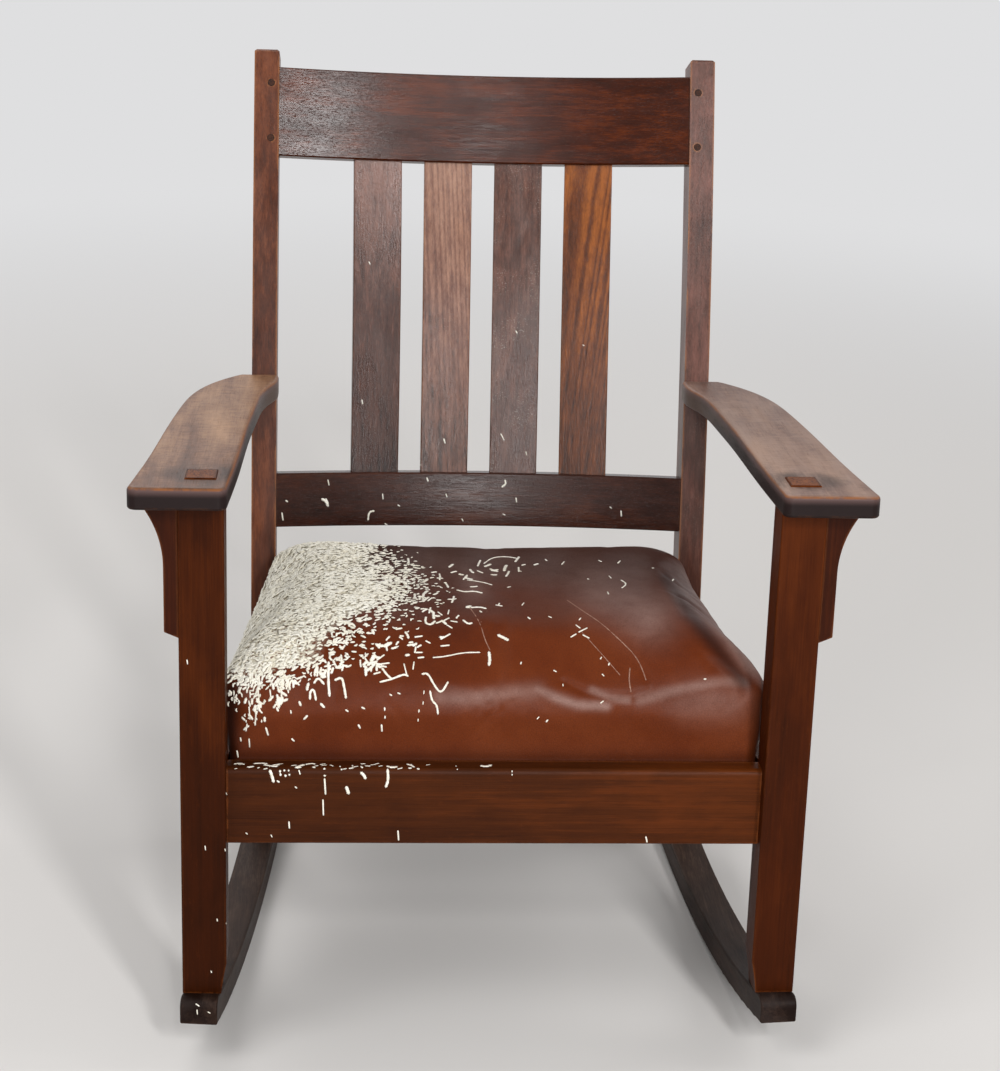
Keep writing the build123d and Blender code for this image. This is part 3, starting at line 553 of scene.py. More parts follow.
def seatRing(inset, corner, bulge, z, rake, steps=8, straights=12):
    inset = inset + seat["drawnIn"]
    front = seat["front"] + inset - seat["frontBulge"] * bulge
    rear = seat["rear"] - inset
    (nearY, nearX), (farY, farX) = seat["sideFront"], seat["sideRear"]
    halves = []
    for y, sideBulge in zip((front, rear), seat["sideBulge"]):
        innerFace = nearX + (farX - nearX) * (y - nearY) / (farY - nearY)
        halves.append(innerFace - seat["sideGap"] - inset + sideBulge * bulge)
    corners = [(-halves[0], front), (halves[0], front), (halves[1], rear), (-halves[1], rear)]
    corners = [Vector(place) for place in corners]
    outline = []
    for index, here in enumerate(corners):
        before = here + (corners[index - 1] - here).normalized() * corner
        after = here + (corners[(index + 1) % 4] - here).normalized() * corner
        for step in range(steps + 1):
            share = step / steps
            outline.append(before.lerp(here, share).lerp(here.lerp(after, share), share))
        there = corners[(index + 1) % 4]
        end = there + (here - there).normalized() * corner
        outline.extend(after.lerp(end, step / straights) for step in range(1, straights))
    turn = radians(rake)
    ring = []
    for point in outline:
        reach = point.y - seatMiddleY
        ring.append(Vector((point.x, seatMiddleY + reach * cos(turn), z + reach * sin(turn))))
    return ring


def seatRings():
    rings = [seatRing(0, seat["corner"], 0, z, 0) for z in (seat["bottom"], seat["wallTop"])]
    round0, round1, round2 = seat["corner"], seat["shoulderCorner"], seat["crownCorner"]
    for level in range(1, seat["wallLevels"]):
        share = level / seat["wallLevels"]
        z = seat["wallTop"] + (seat["shoulder"] - seat["wallTop"]) * share
        corner = round0 + (round1 - round0) * share
        rings.append(seatRing(0, corner, sin(pi / 2 * share), z, seat["rake"] * share))
    for level in range(seat["crownLevels"] + 1):
        turn = pi / 2 * level / seat["crownLevels"]
        z = seat["shoulder"] + (seat["crown"] - seat["shoulder"]) * sin(turn)
        corner = round1 + (round2 - round1) * level / seat["crownLevels"]
        rings.append(seatRing(seat["crownInset"] * (1 - cos(turn)), corner, 1, z, seat["rake"] * cos(turn)))
    return rings


def closedLoft(name, rings, centres):
    mesh = bmesh.new()
    rows = [[mesh.verts.new(toRest @ point) for point in ring] for ring in rings]
    count = len(rings[0])
    for below, above in zip(rows, rows[1:]):
        for index in range(count):
            after = (index + 1) % count
            mesh.faces.new((below[index], below[after], above[after], above[index]))
    for row, centre, order in ((rows[0], centres[0], -1), (rows[-1], centres[1], 1)):
        hub = mesh.verts.new(toRest @ centre)
        for index in range(count):
            mesh.faces.new((row[index], row[(index + 1) % count], hub)[::order])
    data = bpy.data.meshes.new(name)
    mesh.to_mesh(data)
    mesh.free()
    made = bpy.data.objects.new(name, data)
    bpy.context.collection.objects.link(made)
    return made


def only(target):
    bpy.ops.object.select_all(action="DESELECT")
    target.select_set(True)
    bpy.context.view_layer.objects.active = target


def applyAll(target):
    only(target)
    for modifier in list(target.modifiers):
        bpy.ops.object.modifier_apply(modifier=modifier.name)


def stuff(target):
    remesh = target.modifiers.new("even", "REMESH")
    remesh.mode = "VOXEL"
    remesh.voxel_size = seat["voxel"]
    applyAll(target)
    start = [vertex.co.copy() for vertex in target.data.vertices]
    cloth = target.modifiers.new("stuffing", "CLOTH")
    cloth.settings.use_pressure = True
    cloth.settings.uniform_pressure_force = seat["pressure"]
    cloth.settings.effector_weights.gravity = 0
    cloth.point_cache.frame_start = 1
    cloth.point_cache.frame_end = seat["frames"]
    for step in range(1, seat["frames"] + 1):
        bpy.context.scene.frame_set(step)
    applyAll(target)
    bpy.context.scene.frame_set(1)
    for vertex, old in zip(target.data.vertices, start):
        move = vertex.co - old
        height = (toChair @ old).z
        free = min(max((height - seat["wallTop"]) / seat["swellOver"], 0), 1)
        limit = seat["swell"] * free * free
        vertex.co = old + move * min(1, limit / max(move.length, seat["stillness"]))


def soften(target):
    subdivision = target.modifiers.new("fine", "SUBSURF")
    subdivision.levels = subdivision.render_levels = 1
    applyAll(target)
    only(target)
    bpy.ops.object.shade_smooth()


# The remesh rounds the cushion's foot, so its edge is squared again where it covers the wooden frame
def squareFoot(target):
    ring = [point.to_2d() for point in seatRing(-seat["drawnIn"], seat["corner"], 0, seat["bottom"], 0)]
    runs = [(here, there - here) for here, there in zip(ring, ring[1:] + ring[:1])]
    reach, tall = seat["foot"], seat["wallTop"] - seat["bottom"]
    for vertex in target.data.vertices:
        place = toChair @ vertex.co
        flat, height = place.to_2d(), place.z - seat["bottom"]
        if height > tall:
            continue
        shares = [min(max((flat - here).dot(run) / run.dot(run), 0), 1) for here, run in runs]
        nearest = [here + run * share for share, (here, run) in zip(shares, runs)]
        edge = min(nearest, key=lambda point: (point - flat).length)
        gap = (edge - flat).length
        if not 0 < gap < reach:
            continue
        out, down = reach - gap, max(reach - height, 0)
        fade = min((tall - height) / (tall - reach), 1)
        grown = reach / max(out, down)
        moved = edge + (flat - edge) * ((reach - out * (1 + (grown - 1) * fade)) / gap)
        if down:
            height = reach - down * grown
        vertex.co = toRest @ Vector((*moved, seat["bottom"] + height))


seatCentres = [Vector((0, seatMiddleY, z)) for z in (seat["bottom"], seat["crown"] + seat["hubRise"])]
cushion = closedLoft("leather_cushion", seatRings(), seatCentres)
stuff(cushion)
soften(cushion)
squareFoot(cushion)
print("seat stuffed:", len(cushion.data.polygons), "faces")


def pairs(numbers):
    return list(zip(numbers[::2], numbers[1::2]))


# How far each point lies from a path
def near(path, x, y):
    closest = numpy.full(len(x), numpy.inf)
    for (x0, y0), (x1, y1) in zip(path, path[1:]):
        runX, runY = x1 - x0, y1 - y0
        share = numpy.clip(((x - x0) * runX + (y - y0) * runY) / (runX * runX + runY * runY), 0, 1)
        closest = numpy.minimum(closest, numpy.hypot(x - x0 - share * runX, y - y0 - share * runY))
    return closest


# Creases and hollows that use has pressed into the seat: depth in metres, half width in the photo's
# pixels, and then x and y of each point of the path in them
creases = [
    (0.002, 4, 564, 681, 584, 691, 606, 696, 632, 697, 650, 691),
    (-0.0013, 6, 536, 689, 558, 699, 582, 707, 612, 708),
    (-0.0008, 4, 592, 688, 612, 701, 630, 703),
    (0.0007, 4, 655, 690, 676, 697, 702, 690),
    (0.0006, 4, 660, 572, 676, 592, 684, 612),
    (0.0005, 3, 672, 570, 685, 586, 700, 602),
    (0.0009, 4, 452, 690, 480, 699, 512, 697),
    (0.0022, 40, 470, 640, 560, 650),
]
# Painted light and shade on the leather: the pale tones are a painted sheen and highlights, the dark ones
# painted shade. Each has its name, half width in pixels, strength, and then the path
tones = [
    ("grey", 26, 0.55, 592, 582, 622, 598, 648, 616),
    ("grey", 13, 0.85, 688, 574, 711, 602, 735, 636, 754, 664),
    ("grey", 8, 0.5, 440, 697, 476, 698, 514, 692, 537, 690),
    ("grey", 5, 0.75, 537, 689, 557, 698, 577, 705, 606, 706),
    ("grey", 4, 0.6, 592, 690, 610, 698, 628, 700),
    ("grey", 6, 0.5, 640, 699, 662, 694, 690, 687, 718, 682, 744, 682),
    ("grey", 20, 0.22, 690, 702, 736, 704),
    ("grey", 15, 0.4, 466, 566, 474, 590),
    ("grey", 20, 0.3, 430, 560, 540, 566, 640, 574),
    ("dark", 9, 0.75, 664, 578, 694, 618, 726, 660, 744, 682),
    ("dark", 34, 0.5, 330, 552, 470, 556, 600, 562, 684, 572),
    ("dark", 10, 0.95, 231, 690, 230, 740, 232, 762),
    ("dark", 9, 0.9, 768, 690, 763, 720, 759, 760),
    ("dark", 11, 0.5, 235, 758, 500, 762, 760, 764),
    ("dark", 18, 0.35, 400, 600, 470, 606, 560, 612),
]


def seatPoints():
    count = len(cushion.data.vertices)
    places, normals = numpy.empty(count * 3), numpy.empty(count * 3)
    cushion.data.vertices.foreach_get("co", places)
    cushion.data.vertices.foreach_get("normal", normals)
    return places.reshape(-1, 3), normals.reshape(-1, 3)


# How far the photo's camera sees a surface, with a soft edge where the surface turns away
def seenShare(places, normals, low=-0.1, high=0.14):
    away = numpy.array(cameraPlace) - places
    away /= numpy.linalg.norm(away, axis=1)[:, None]
    return numpy.clip(((away * normals).sum(axis=1) - low) / (high - low), 0, 1)


def pressCreases():
    places, normals = seatPoints()
    x, y = pixelsOf(places)
    seen = seenShare(places, normals)
    depth = numpy.zeros(len(x))
    for deep, width, *points in creases:
        depth += deep * numpy.exp(-(near(pairs(points), x, y) / width) ** 2)
    places -= normals * (depth * seen)[:, None]
    cushion.data.vertices.foreach_set("co", places.ravel())
    cushion.data.update()


def paintTones():
    places, normals = seatPoints()
    x, y = pixelsOf(places)
    seen = seenShare(places, normals)
    for tone in ("grey", "dark"):
        strength = numpy.zeros(len(x))
        for kind, width, most, *points in tones:
            if kind == tone:
                spread = numpy.exp(-(near(pairs(points), x, y) / width) ** 2)
                strength = numpy.maximum(strength, most * spread * seen)
        layer = cushion.data.attributes.new(tone, "FLOAT", "POINT")
        layer.data.foreach_set("value", strength)
    layer = cushion.data.attributes.new("film", "FLOAT", "POINT")
    layer.data.foreach_set("value", spatterCover(x, y) * sideShare(places, normals))


# Old cream spatter that dried on the seat: rows of the photo, and how far right it lies dense, thin and loose
spatter = {
    "rows": [536, 546, 556, 566, 577, 587, 603, 618, 634, 650, 660, 670, 684, 700],
    "denseTo": [332, 352, 358, 340, 344, 374, 364, 312, 290, 286, 288, 268, 240, 226],
    "thinTo": [368, 378, 390, 402, 412, 416, 408, 392, 372, 358, 352, 304, 290, 262],
    "looseTo": [390, 408, 430, 446, 458, 466, 462, 446, 426, 404, 384, 356, 322, 300],
    "fadeRows": [534, 542, 662, 684, 715, 735],
    "fades": [0, 1, 1, 0.5, 0.12, 0],
    "thinShare": 0.7,
    "looseFade": 1.6,
    "unseenFacing": (-0.3, 0.05),
    "unseenMost": 0.4,
    "unseenFoot": 0.325,
    "unseenFade": 0.05,
    "foot": 0.012,  # above the seat's wall
    "steep": (0.35, 0.4),
    "grains": 6400,
    "length": (0.005, 0.011),
    "width": (0.0022, 0.0035),
    "height": 0.0019,
    "pile": 0.0016,
    "smallest": 0.55,
    "bow": 0.16,
}


def spatterCover(x, y):
    edges = ("denseTo", "thinTo", "looseTo")
    dense, thin, loose = (numpy.interp(y, spatter["rows"], spatter[edge]) for edge in edges)
    inner = numpy.clip((thin - x) / (thin - dense), 0, 1)
    outer = numpy.clip((loose - x) / (loose - thin), 0, 1)
    share = spatter["thinShare"] * inner + (1 - spatter["thinShare"]) * outer ** spatter["looseFade"]
    return share * numpy.interp(y, spatter["fadeRows"], spatter["fades"])


# Past what the photo shows, the spatter thins out down the seat's sides
def sideShare(places, normals):
    seen = seenShare(places, normals, *spatter["unseenFacing"])
    heights = numpy.array([(toChair @ Vector(place)).z for place in places])
    down = numpy.clip((heights - spatter["unseenFoot"]) / spatter["unseenFade"], 0, 1)
    return seen + (1 - seen) * spatter["unseenMost"] * down


def leatherMaterial():
    material, shader, place = newMaterial("old_leather")
    own = place.stretched((1, 1, 1), tuple(-(upright @ Vector(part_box("leather_cover")[0]))), (lean, 0, 0))
    grey, dark, film = (place.painted(name) for name in ("grey", "dark", "film"))
    broad = own.noise(6, 4, 0.55, 0.3) - 0.5
    blotches = own.noise(34, 4, 0.6, 0.4) - 0.5
    pebbles = own.node("ShaderNodeTexVoronoi", None, {"Vector": own, "Scale": 950})
    cracks = own.node("ShaderNodeTexVoronoi", {"feature": "DISTANCE_TO_EDGE"}, {"Vector": own, "Scale": 430})
    lined = 1 - cracks.between(0, 0.11)
    facing = own.node("ShaderNodeNewGeometry", None, None, 1)
    rise = facing.parts()[2].between(0.45, 0.98) * own.parts()[1].between(0.02, 0.3)
    tone = broad * 1.1 + blotches * 0.4 + 0.5
    colours = tone.node("ShaderNodeValToRGB", {"stops": [
        (0.1, colour("#481a06")), (0.5, colour("#602709")), (0.95, colour("#743616")),
    ]}, {"Fac": tone})
    # Faces that turn up, more so towards the rear, take a greyer, darker brown: a painted sheen and shade on
    # the seat's top
    colours = (rise * 0.85).blend(colours, tone.blend(paint("#381a11"), paint("#553023")))
    # Pale pinkish-grey bands and patches: a painted sheen and highlights
    colours = (grey * (0.75 + blotches)).blend(colours, paint("#a1847b"))
    # The dark tone is painted shade: at the seat's ends by the posts, along the front rail, over the rear of
    # the top, beside the right shoulder and in bands across the top
    colours = dark.blend(colours, paint("#1f0c07"))
    colours = (lined * 0.22).blend(colours, paint("#2a120b"))
    streaks = own.stretched((260, 700, 700), (0, 0, 0), (0, 0, 0.25)).noise(1, 2)
    crust = film.between(0.6, 0.95) * streaks.between(0.34, 0.5)
    colours = crust.blend(colours, streaks.blend(paint("#cfc7ae"), paint("#efe9d8")))
    height = pebbles * 0.4 + cracks.between(0, 0.2) * 0.4 + crust * 2
    rubbing = own.noise(24, 5, 0.65) - 0.5
    roughness = 0.4 + rubbing * 0.3 + lined * 0.08 + crust * 0.25 + grey * 0.1
    links = {"Base Color": colours, "Roughness": roughness.most(0.2), "Normal": bump(height, 0.22, 0.0005)}
    finish(shader, links, {"Specular IOR Level": 0.12})
    return material


pressCreases()
paintTones()
cushion.data.materials.append(leatherMaterial())
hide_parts("leather_cover", "seat_padding")
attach(cushion, "seat")
print("leather finished")


# Grains, drips and drops are small closed shells of one kind, laid along a short path over what carries them
grainForm = {
    "sides": 5,
    "endShare": 0.72,
    "waves": 0.16,
    "waveTurn": 2.4,
    "waveStart": 900,
    "tip": 0.4,
    "tipRise": 0.45,
}


def addGrain(mesh, path, normals, width, height):
    rise = mesh.verts.layers.float.get("rise") or mesh.verts.layers.float.new("rise")
    count, sides = len(path), grainForm["sides"]
    rows = []
    for index, (point, normal) in enumerate(zip(path, normals)):
        ahead = path[min(index + 1, count - 1)] - path[max(index - 1, 0)]
        aside = ahead.cross(normal).normalized()
        wave = sin(index * grainForm["waveTurn"] + path[0].x * grainForm["waveStart"])
        share = grainForm["endShare"] if index in (0, count - 1) else 1 + grainForm["waves"] * wave
        ring = []
        for side in range(sides):
            turn = 2 * pi * side / sides
            reach = aside * (cos(turn) * width / 2 * share) + normal * (sin(turn) * height / 2 * share)
            vertex = mesh.verts.new(point + reach)
            # rise runs from 0 under a grain to 1 on its crown; the cream is painted darker where it is low,
            # as shade
            vertex[rise] = 0.5 + 0.5 * sin(turn)
            ring.append(vertex)
        rows.append(ring)
    for below, above in zip(rows, rows[1:]):
        for side in range(sides):
            after = (side + 1) % sides
            mesh.faces.new((below[side], below[after], above[after], above[side]))
    for row, beyond, order in ((rows[0], path[0] - path[1], -1), (rows[-1], path[-1] - path[-2], 1)):
        base = path[0] if order < 0 else path[-1]
        tip = mesh.verts.new(base + beyond.normalized() * width * grainForm["tip"])
        tip[rise] = grainForm["tipRise"]
        for side in range(sides):
            mesh.faces.new((row[side], row[(side + 1) % sides], tip)[::order])


def grainPiece(name, mesh, material, body):
    bmesh.ops.recalc_face_normals(mesh, faces=mesh.faces)
    data = bpy.data.meshes.new(name)
    mesh.to_mesh(data)
    mesh.free()
    piece = bpy.data.objects.new(name, data)
    bpy.context.collection.objects.link(piece)
    only(piece)
    bpy.ops.object.shade_smooth()
    data.materials.append(material)
    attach(piece, body)
    return piece


def creamMaterial():
    material, shader, place = newMaterial("cream_spatter")
    spots = place.noise(330, 3, 0.6)
    broad = place.noise(45, 2)
    rise = place.painted("rise")
    tone = (spots * 0.7 + broad * 0.5 - 0.1).between(0.2, 0.8)
    colours = tone.blend(paint("#e6dfcb"), paint("#fffcf2"))
    # Painted shade: each grain darkens towards its foot, so that dark gaps show between the grains
    colours = rise.between(0.25, 0.75).blend(paint("#aaa088"), colours)
    links = {"Base Color": colours, "Roughness": 0.5 + spots * 0.2, "Normal": bump(spots, 0.3, 0.0003)}
    finish(shader, links, {"Specular IOR Level": 0.35})
    return material


def tanMaterial():
    material, shader, place = newMaterial("tan_scratch")
    spots = place.noise(260, 3, 0.6)
    colours = spots.between(0.3, 0.7).blend(paint("#7d5443"), paint("#a98370"))
    finish(shader, {"Base Color": colours, "Roughness": 0.5 + spots * 0.2}, {"Specular IOR Level": 0.3})
    return material


def scatterGrains(mesh, dice):
    data = cushion.data
    data.calc_loop_triangles()
    triangles = [tuple(data.vertices[index].co for index in item.vertices) for item in data.loop_triangles]
    centres = numpy.array([(a + b + c) / 3 for a, b, c in triangles])
    normals = [item.normal.copy() for item in data.loop_triangles]
    x, y = pixelsOf(centres)
    areas = numpy.array([item.area for item in data.loop_triangles])
    foot = seat["wallTop"] + spatter["foot"]
    above = numpy.array([(toChair @ Vector(centre)).z > foot for centre in centres])
    cover = spatterCover(x, y)
    weights = areas * cover * sideShare(centres, numpy.array(normals)) * above
    for index in dice.choices(range(len(triangles)), weights=weights.tolist(), k=spatter["grains"]):
        a, b, c = triangles[index]
        normal = normals[index]
        u, v = dice.random(), dice.random()
        if u + v > 1:
            u, v = 1 - u, 1 - v
        middle = a + (b - a) * u + (c - a) * v + normal * dice.uniform(0, spatter["pile"])
        level = (Vector((1, 0, 0)) - normal * normal.x).normalized()
        steep = normal.cross(level)
        upness = max(0, min(1, (normal.z - spatter["steep"][0]) / spatter["steep"][1]))
        angle = dice.gauss(0.25, 0.6) * upness + (pi / 2 + dice.gauss(0, 0.3)) * (1 - upness)
        ahead = level * cos(angle) + steep * sin(angle)
        large = spatter["smallest"] + (1 - spatter["smallest"]) * min(1, cover[index] * 1.6)
        length = dice.uniform(*spatter["length"]) * large
        bow = normal.cross(ahead) * (length * dice.uniform(-spatter["bow"], spatter["bow"]))
        path = []
        for place in (-0.3, 0, 0.3):
            path.append(middle + ahead * (length * place) + bow * (1 - 16 * place * place))
        width = dice.uniform(*spatter["width"]) * large
        addGrain(mesh, path, [normal] * 3, width, spatter["height"] * dice.uniform(0.7, 1.3) * large)


# Single drips, drops and hooks on the seat, in the photo's pixels: the width of each, then the x and y of
# every point along it
seatDrips = [
    (3.4, 328.6, 662, 328.2, 681, 329.6, 696), (3.2, 335, 680, 342, 677, 344, 686, 346, 698),
    (2.8, 333, 660, 337, 669, 342, 664, 341, 655), (3.0, 310, 699, 310, 691, 314, 689, 316, 700),
    (3.0, 314, 683, 318, 677, 324, 684), (3.4, 364, 657, 369, 664), (3.8, 366, 671, 372, 667, 375, 663),
    (3.0, 377, 660, 384, 655), (3.0, 381, 664, 389, 663), (2.8, 382, 668, 387, 675, 392, 679),
    (2.6, 380, 682, 392, 679, 404, 674, 408, 676), (2.6, 404, 664, 407, 676), (2.6, 414, 662, 413, 669),
    (2.6, 422, 674, 428, 673, 434, 685, 441, 694, 448, 682),
    (2.6, 430, 691, 432, 701, 437, 705, 438, 714), (2.4, 424, 691, 423, 704), (2.6, 419, 710, 418, 721),
    (3.2, 384.6, 708, 385, 718), (3.2, 381.6, 725, 382, 731), (3.0, 233.8, 691, 234.6, 703),
    (2.8, 249, 707, 250, 719), (2.4, 247, 724, 246, 731), (2.8, 261, 706, 261.6, 722),
    (3.6, 266, 728, 268, 735), (2.8, 249, 739, 249.6, 747), (3.0, 256, 713, 255, 725),
    (3.0, 250, 692, 250, 706), (3.4, 258, 690, 259, 704), (3.0, 270, 690, 271, 700),
    (3.0, 276, 702, 279, 708), (3.2, 288, 690, 291, 713), (3.4, 283, 683, 282, 703),
    (3.0, 237, 751, 238, 757), (4.4, 299.4, 702, 300.6, 705), (4.6, 321, 704, 324, 707),
    (4.0, 304, 719, 307, 716), (3.2, 346, 710, 348, 711.4), (3.2, 362, 707.4, 364.4, 708.6),
    (3.4, 358.6, 725, 360, 728), (2.6, 390, 694.4, 391.6, 695.4), (2.8, 398, 693, 400, 693.8),
    (3.4, 292, 739, 294, 741), (3.0, 240.4, 738, 241, 741), (3.0, 426, 617, 425, 623, 431, 625, 435, 621),
    (2.8, 438, 612, 442, 615), (2.8, 443, 621, 449, 618), (2.8, 451, 621, 457, 622),
    (2.6, 449, 610, 448, 614), (2.6, 447, 625, 452, 628), (2.8, 463, 620, 468, 624, 472, 623),
    (1.7, 433, 657.6, 445, 656.6, 463, 652.6, 480, 652.4), (4.0, 489, 652, 490, 660, 489, 665),
    (3.8, 498, 635, 504, 638, 508, 640), (3.2, 415, 637, 422, 636), (3.0, 441, 639, 450, 634),
    (3.0, 441, 646, 449, 645.2), (3.0, 416, 652.4, 422, 652.4), (3.0, 426, 641, 430, 643),
    (3.0, 457, 590, 465, 592, 474, 591, 482, 593), (1.6, 467, 580, 482, 582, 492, 585),
    (2.8, 471, 607.6, 480, 607, 486, 608.6), (3.4, 480, 611, 481.4, 612), (2.8, 496, 605, 502, 606),
    (1.7, 484, 563.6, 492, 557.6, 506, 556.4, 518, 558.6), (2.8, 571, 637, 576, 634),
    (2.8, 579, 632, 587, 628), (2.4, 576, 625, 580, 628), (2.4, 583, 635, 589, 638),
    (2.0, 621, 580, 627, 584, 622, 588),
]
# Close clusters of short grains: middle and reach in pixels, and how many
seatClusters = [
    ((373, 663), (11, 8), 20),
    ((318, 672), (14, 8), 16),
    ((282, 682), (16, 12), 40),
    ((252, 680), (16, 10), 34),
    ((256, 706), (13, 15), 20),
    ((279, 704), (9, 7), 14),
    ((341, 664), (10, 7), 10),
    ((440, 617), (14, 8), 7),
    ((400, 640), (40, 12), 22),
    ((425, 600), (34, 18), 26),
    ((440, 575), (44, 12), 16),
    ((500, 566), (70, 10), 12),
]
# Specks that have no direction of their own
seatSpecks = [
    (546, 560), (563, 563), (600, 561), (619, 562), (653, 568), (673, 580), (588, 579), (610, 577),
    (608, 593), (499, 604), (523, 604), (550, 617), (529, 618), (580, 619), (601, 658), (609, 664),
    (603, 675), (521, 663), (555, 671), (563, 685), (705, 679), (602, 702), (538, 718), (547, 721),
    (455, 599), (509, 587), (520, 571),
]
# Fine scratches through the leather's surface, by the same means
seatScratches = [
    (1.3, 567, 600, 583, 611, 600, 622, 620, 640, 635, 655, 642, 668, 646, 680),
    (1.0, 581, 631, 600, 652, 620, 675), (1.5, 630, 668, 629, 680, 631, 692),
    (1.2, 468, 605, 480, 622, 485, 640, 490, 650), (1.2, 487, 611, 481, 622),
]
# Spatter on the wood
woodDrips = [
    (2.4, 234, 764, 240, 763, 244, 764.4), (2.4, 254, 763.6, 261, 763, 267, 763.6),
    (3.0, 264, 764.6, 271, 766, 277, 766.4), (2.6, 272, 765.4, 280, 763.8),
    (3.8, 296, 767.4, 300, 765.8, 304, 764.6), (2.2, 306, 764.4, 311, 763.4, 315, 764),
    (3.2, 313, 767, 314.6, 767.4), (2.0, 330, 765, 333, 766), (3.0, 340, 766.4, 341.6, 769.6),
    (3.2, 352.4, 765.4, 352.8, 768), (3.2, 361, 766.4, 362.4, 767.6), (3.2, 365.6, 765.8, 369.6, 766),
    (2.0, 361, 763.8, 365, 763.8), (3.6, 387, 766, 392, 767.4, 397, 766.6),
    (2.6, 407, 764, 411, 765.2, 414, 767), (3.0, 409, 768, 411, 768), (2.4, 417.4, 768.6, 419, 769),
    (2.4, 456, 766, 457.4, 769.4), (4.0, 481, 765.6, 486, 766.6, 491, 765),
    (3.4, 270, 770.4, 272, 776, 273.6, 782), (2.8, 277.4, 781, 279, 782), (3.6, 280, 771, 280.6, 775),
    (3.8, 284.4, 770.4, 285.6, 776), (3.0, 288.6, 770.4, 289.4, 775), (2.4, 299, 770.6, 300, 774),
    (4.2, 324.4, 769, 324.8, 775.6), (2.8, 324.6, 779, 325.6, 794), (2.2, 295.4, 787, 296.6, 788),
    (3.8, 346.4, 787, 347.6, 790, 348.6, 793.6), (3.4, 361, 772.6, 364, 775, 365.4, 778.6),
    (3.0, 387.6, 769.4, 388.4, 780, 385.8, 787), (2.0, 512, 771, 512, 775),
    (3.0, 322, 499, 326, 501, 328, 506), (2.6, 286, 500.6, 287.4, 501.6), (2.2, 282, 513, 283, 520),
    (1.7, 382.7, 494, 383, 499), (2.0, 374, 511, 369, 512, 368, 520), (1.8, 328, 480, 329, 485),
    (1.8, 398, 505, 399.6, 506), (1.8, 385, 523.8, 387, 524.6), (1.6, 362, 400, 362.6, 404),
    (1.6, 369, 262, 370, 264), (1.6, 526, 452, 526.6, 455), (1.8, 187, 660, 187.6, 664),
    (1.6, 205, 846, 205.6, 850), (2.0, 196, 1004, 199, 1006), (1.8, 208, 1012, 210, 1013),
    (1.6, 446, 494, 447, 497), (1.7, 503, 514, 505, 515), (1.6, 610, 507, 611.4, 508),
    (2.4, 323, 800, 323.4, 815), (2.4, 289, 822, 289.4, 828), (1.8, 271, 835, 272, 837),
    (1.8, 246, 833, 247.4, 834), (2.4, 398, 831, 398.6, 840), (2.4, 646, 837, 647, 842),
    (1.8, 226, 793, 227, 795), (1.8, 217, 919, 217.4, 921), (1.4, 226, 923, 226.6, 924),
    (1.6, 211, 971, 211.6, 972.6), (1.6, 225, 849, 225.4, 851), (1.8, 197, 1010, 197.4, 1014),
    (2.6, 326, 499, 328, 503), (2.4, 427, 478, 428, 481), (2.0, 505, 480, 506, 484, 502, 487),
    (2.0, 516, 498, 516.6, 502), (1.8, 462, 519, 463, 521), (2.2, 621, 511, 621.4, 516),
    (2.4, 444, 439, 445, 443), (1.8, 420, 460, 420.6, 465), (1.8, 516, 331, 517, 333),
    (1.8, 501, 434, 504, 440), (1.6, 583, 345, 584, 345.6),
]
# Grains that lie along the front rail's top and upper edge
railSpatter = {"x": (233, 440), "y": (763.5, 769), "grains": 26, "tilt": 0.3}
sprinkled = ["front_seat_rail", "lower_back_rail", "front_post_left", "front_post_right", "rocker_left"]
sprinkled += [f"back_slat_{index}" for index in range(1, 5)]


def surfaces(pieces):
    graph = bpy.context.evaluated_depsgraph_get()
    return [BVHTree.FromObject(piece, graph) for piece in pieces]


def castThrough(trees, x, y):
    hits = [tree.ray_cast(cameraPlace, sightLine(x, y)) for tree in trees]
    hits = [hit for hit in hits if hit[0]]
    if not hits:
        return None, None
    place, normal = min(hits, key=lambda hit: hit[3])[:2]
    return place, normal if normal.dot(cameraPlace - place) > 0 else -normal


# Rounds a path's corners by cutting them, twice
def smoothed(path):
    for times in range(2 if len(path) > 2 else 0):
        cuts = [path[0]]
        for (x0, y0), (x1, y1) in zip(path, path[1:]):
            for share in (0.25, 0.75):
                cuts.append((x0 * (1 - share) + x1 * share, y0 * (1 - share) + y1 * share))
        path = [*cuts, path[-1]]
    return path


def layDrip(mesh, trees, width, path, height):
    hits = [castThrough(trees, x, y) for x, y in smoothed(path)]
    hits = [(place, normal) for place, normal in hits if place]
    if len(hits) < 2:
        return
    far = (hits[0][0] - cameraPlace).length
    real = width * far / shot["focalPixels"]
    addGrain(mesh, [place for place, normal in hits], [normal for place, normal in hits], real, height)


dripHeights = {
    "drip": 0.0012,
    "cluster": 0.0013,
    "speck": 0.0011,
    "scratch": 0.0002,
    "wood": 0.001,
    "rail": 0.0009,
}
dripSlimness = 0.88
steepRow = 668  # below this row of the photo the seat's front falls away, and grains point down
cream, tan = creamMaterial(), tanMaterial()
dice = Random(41)
grains = bmesh.new()
scatterGrains(grains, dice)
grainPiece("seat_spatter", grains, cream, "seat")

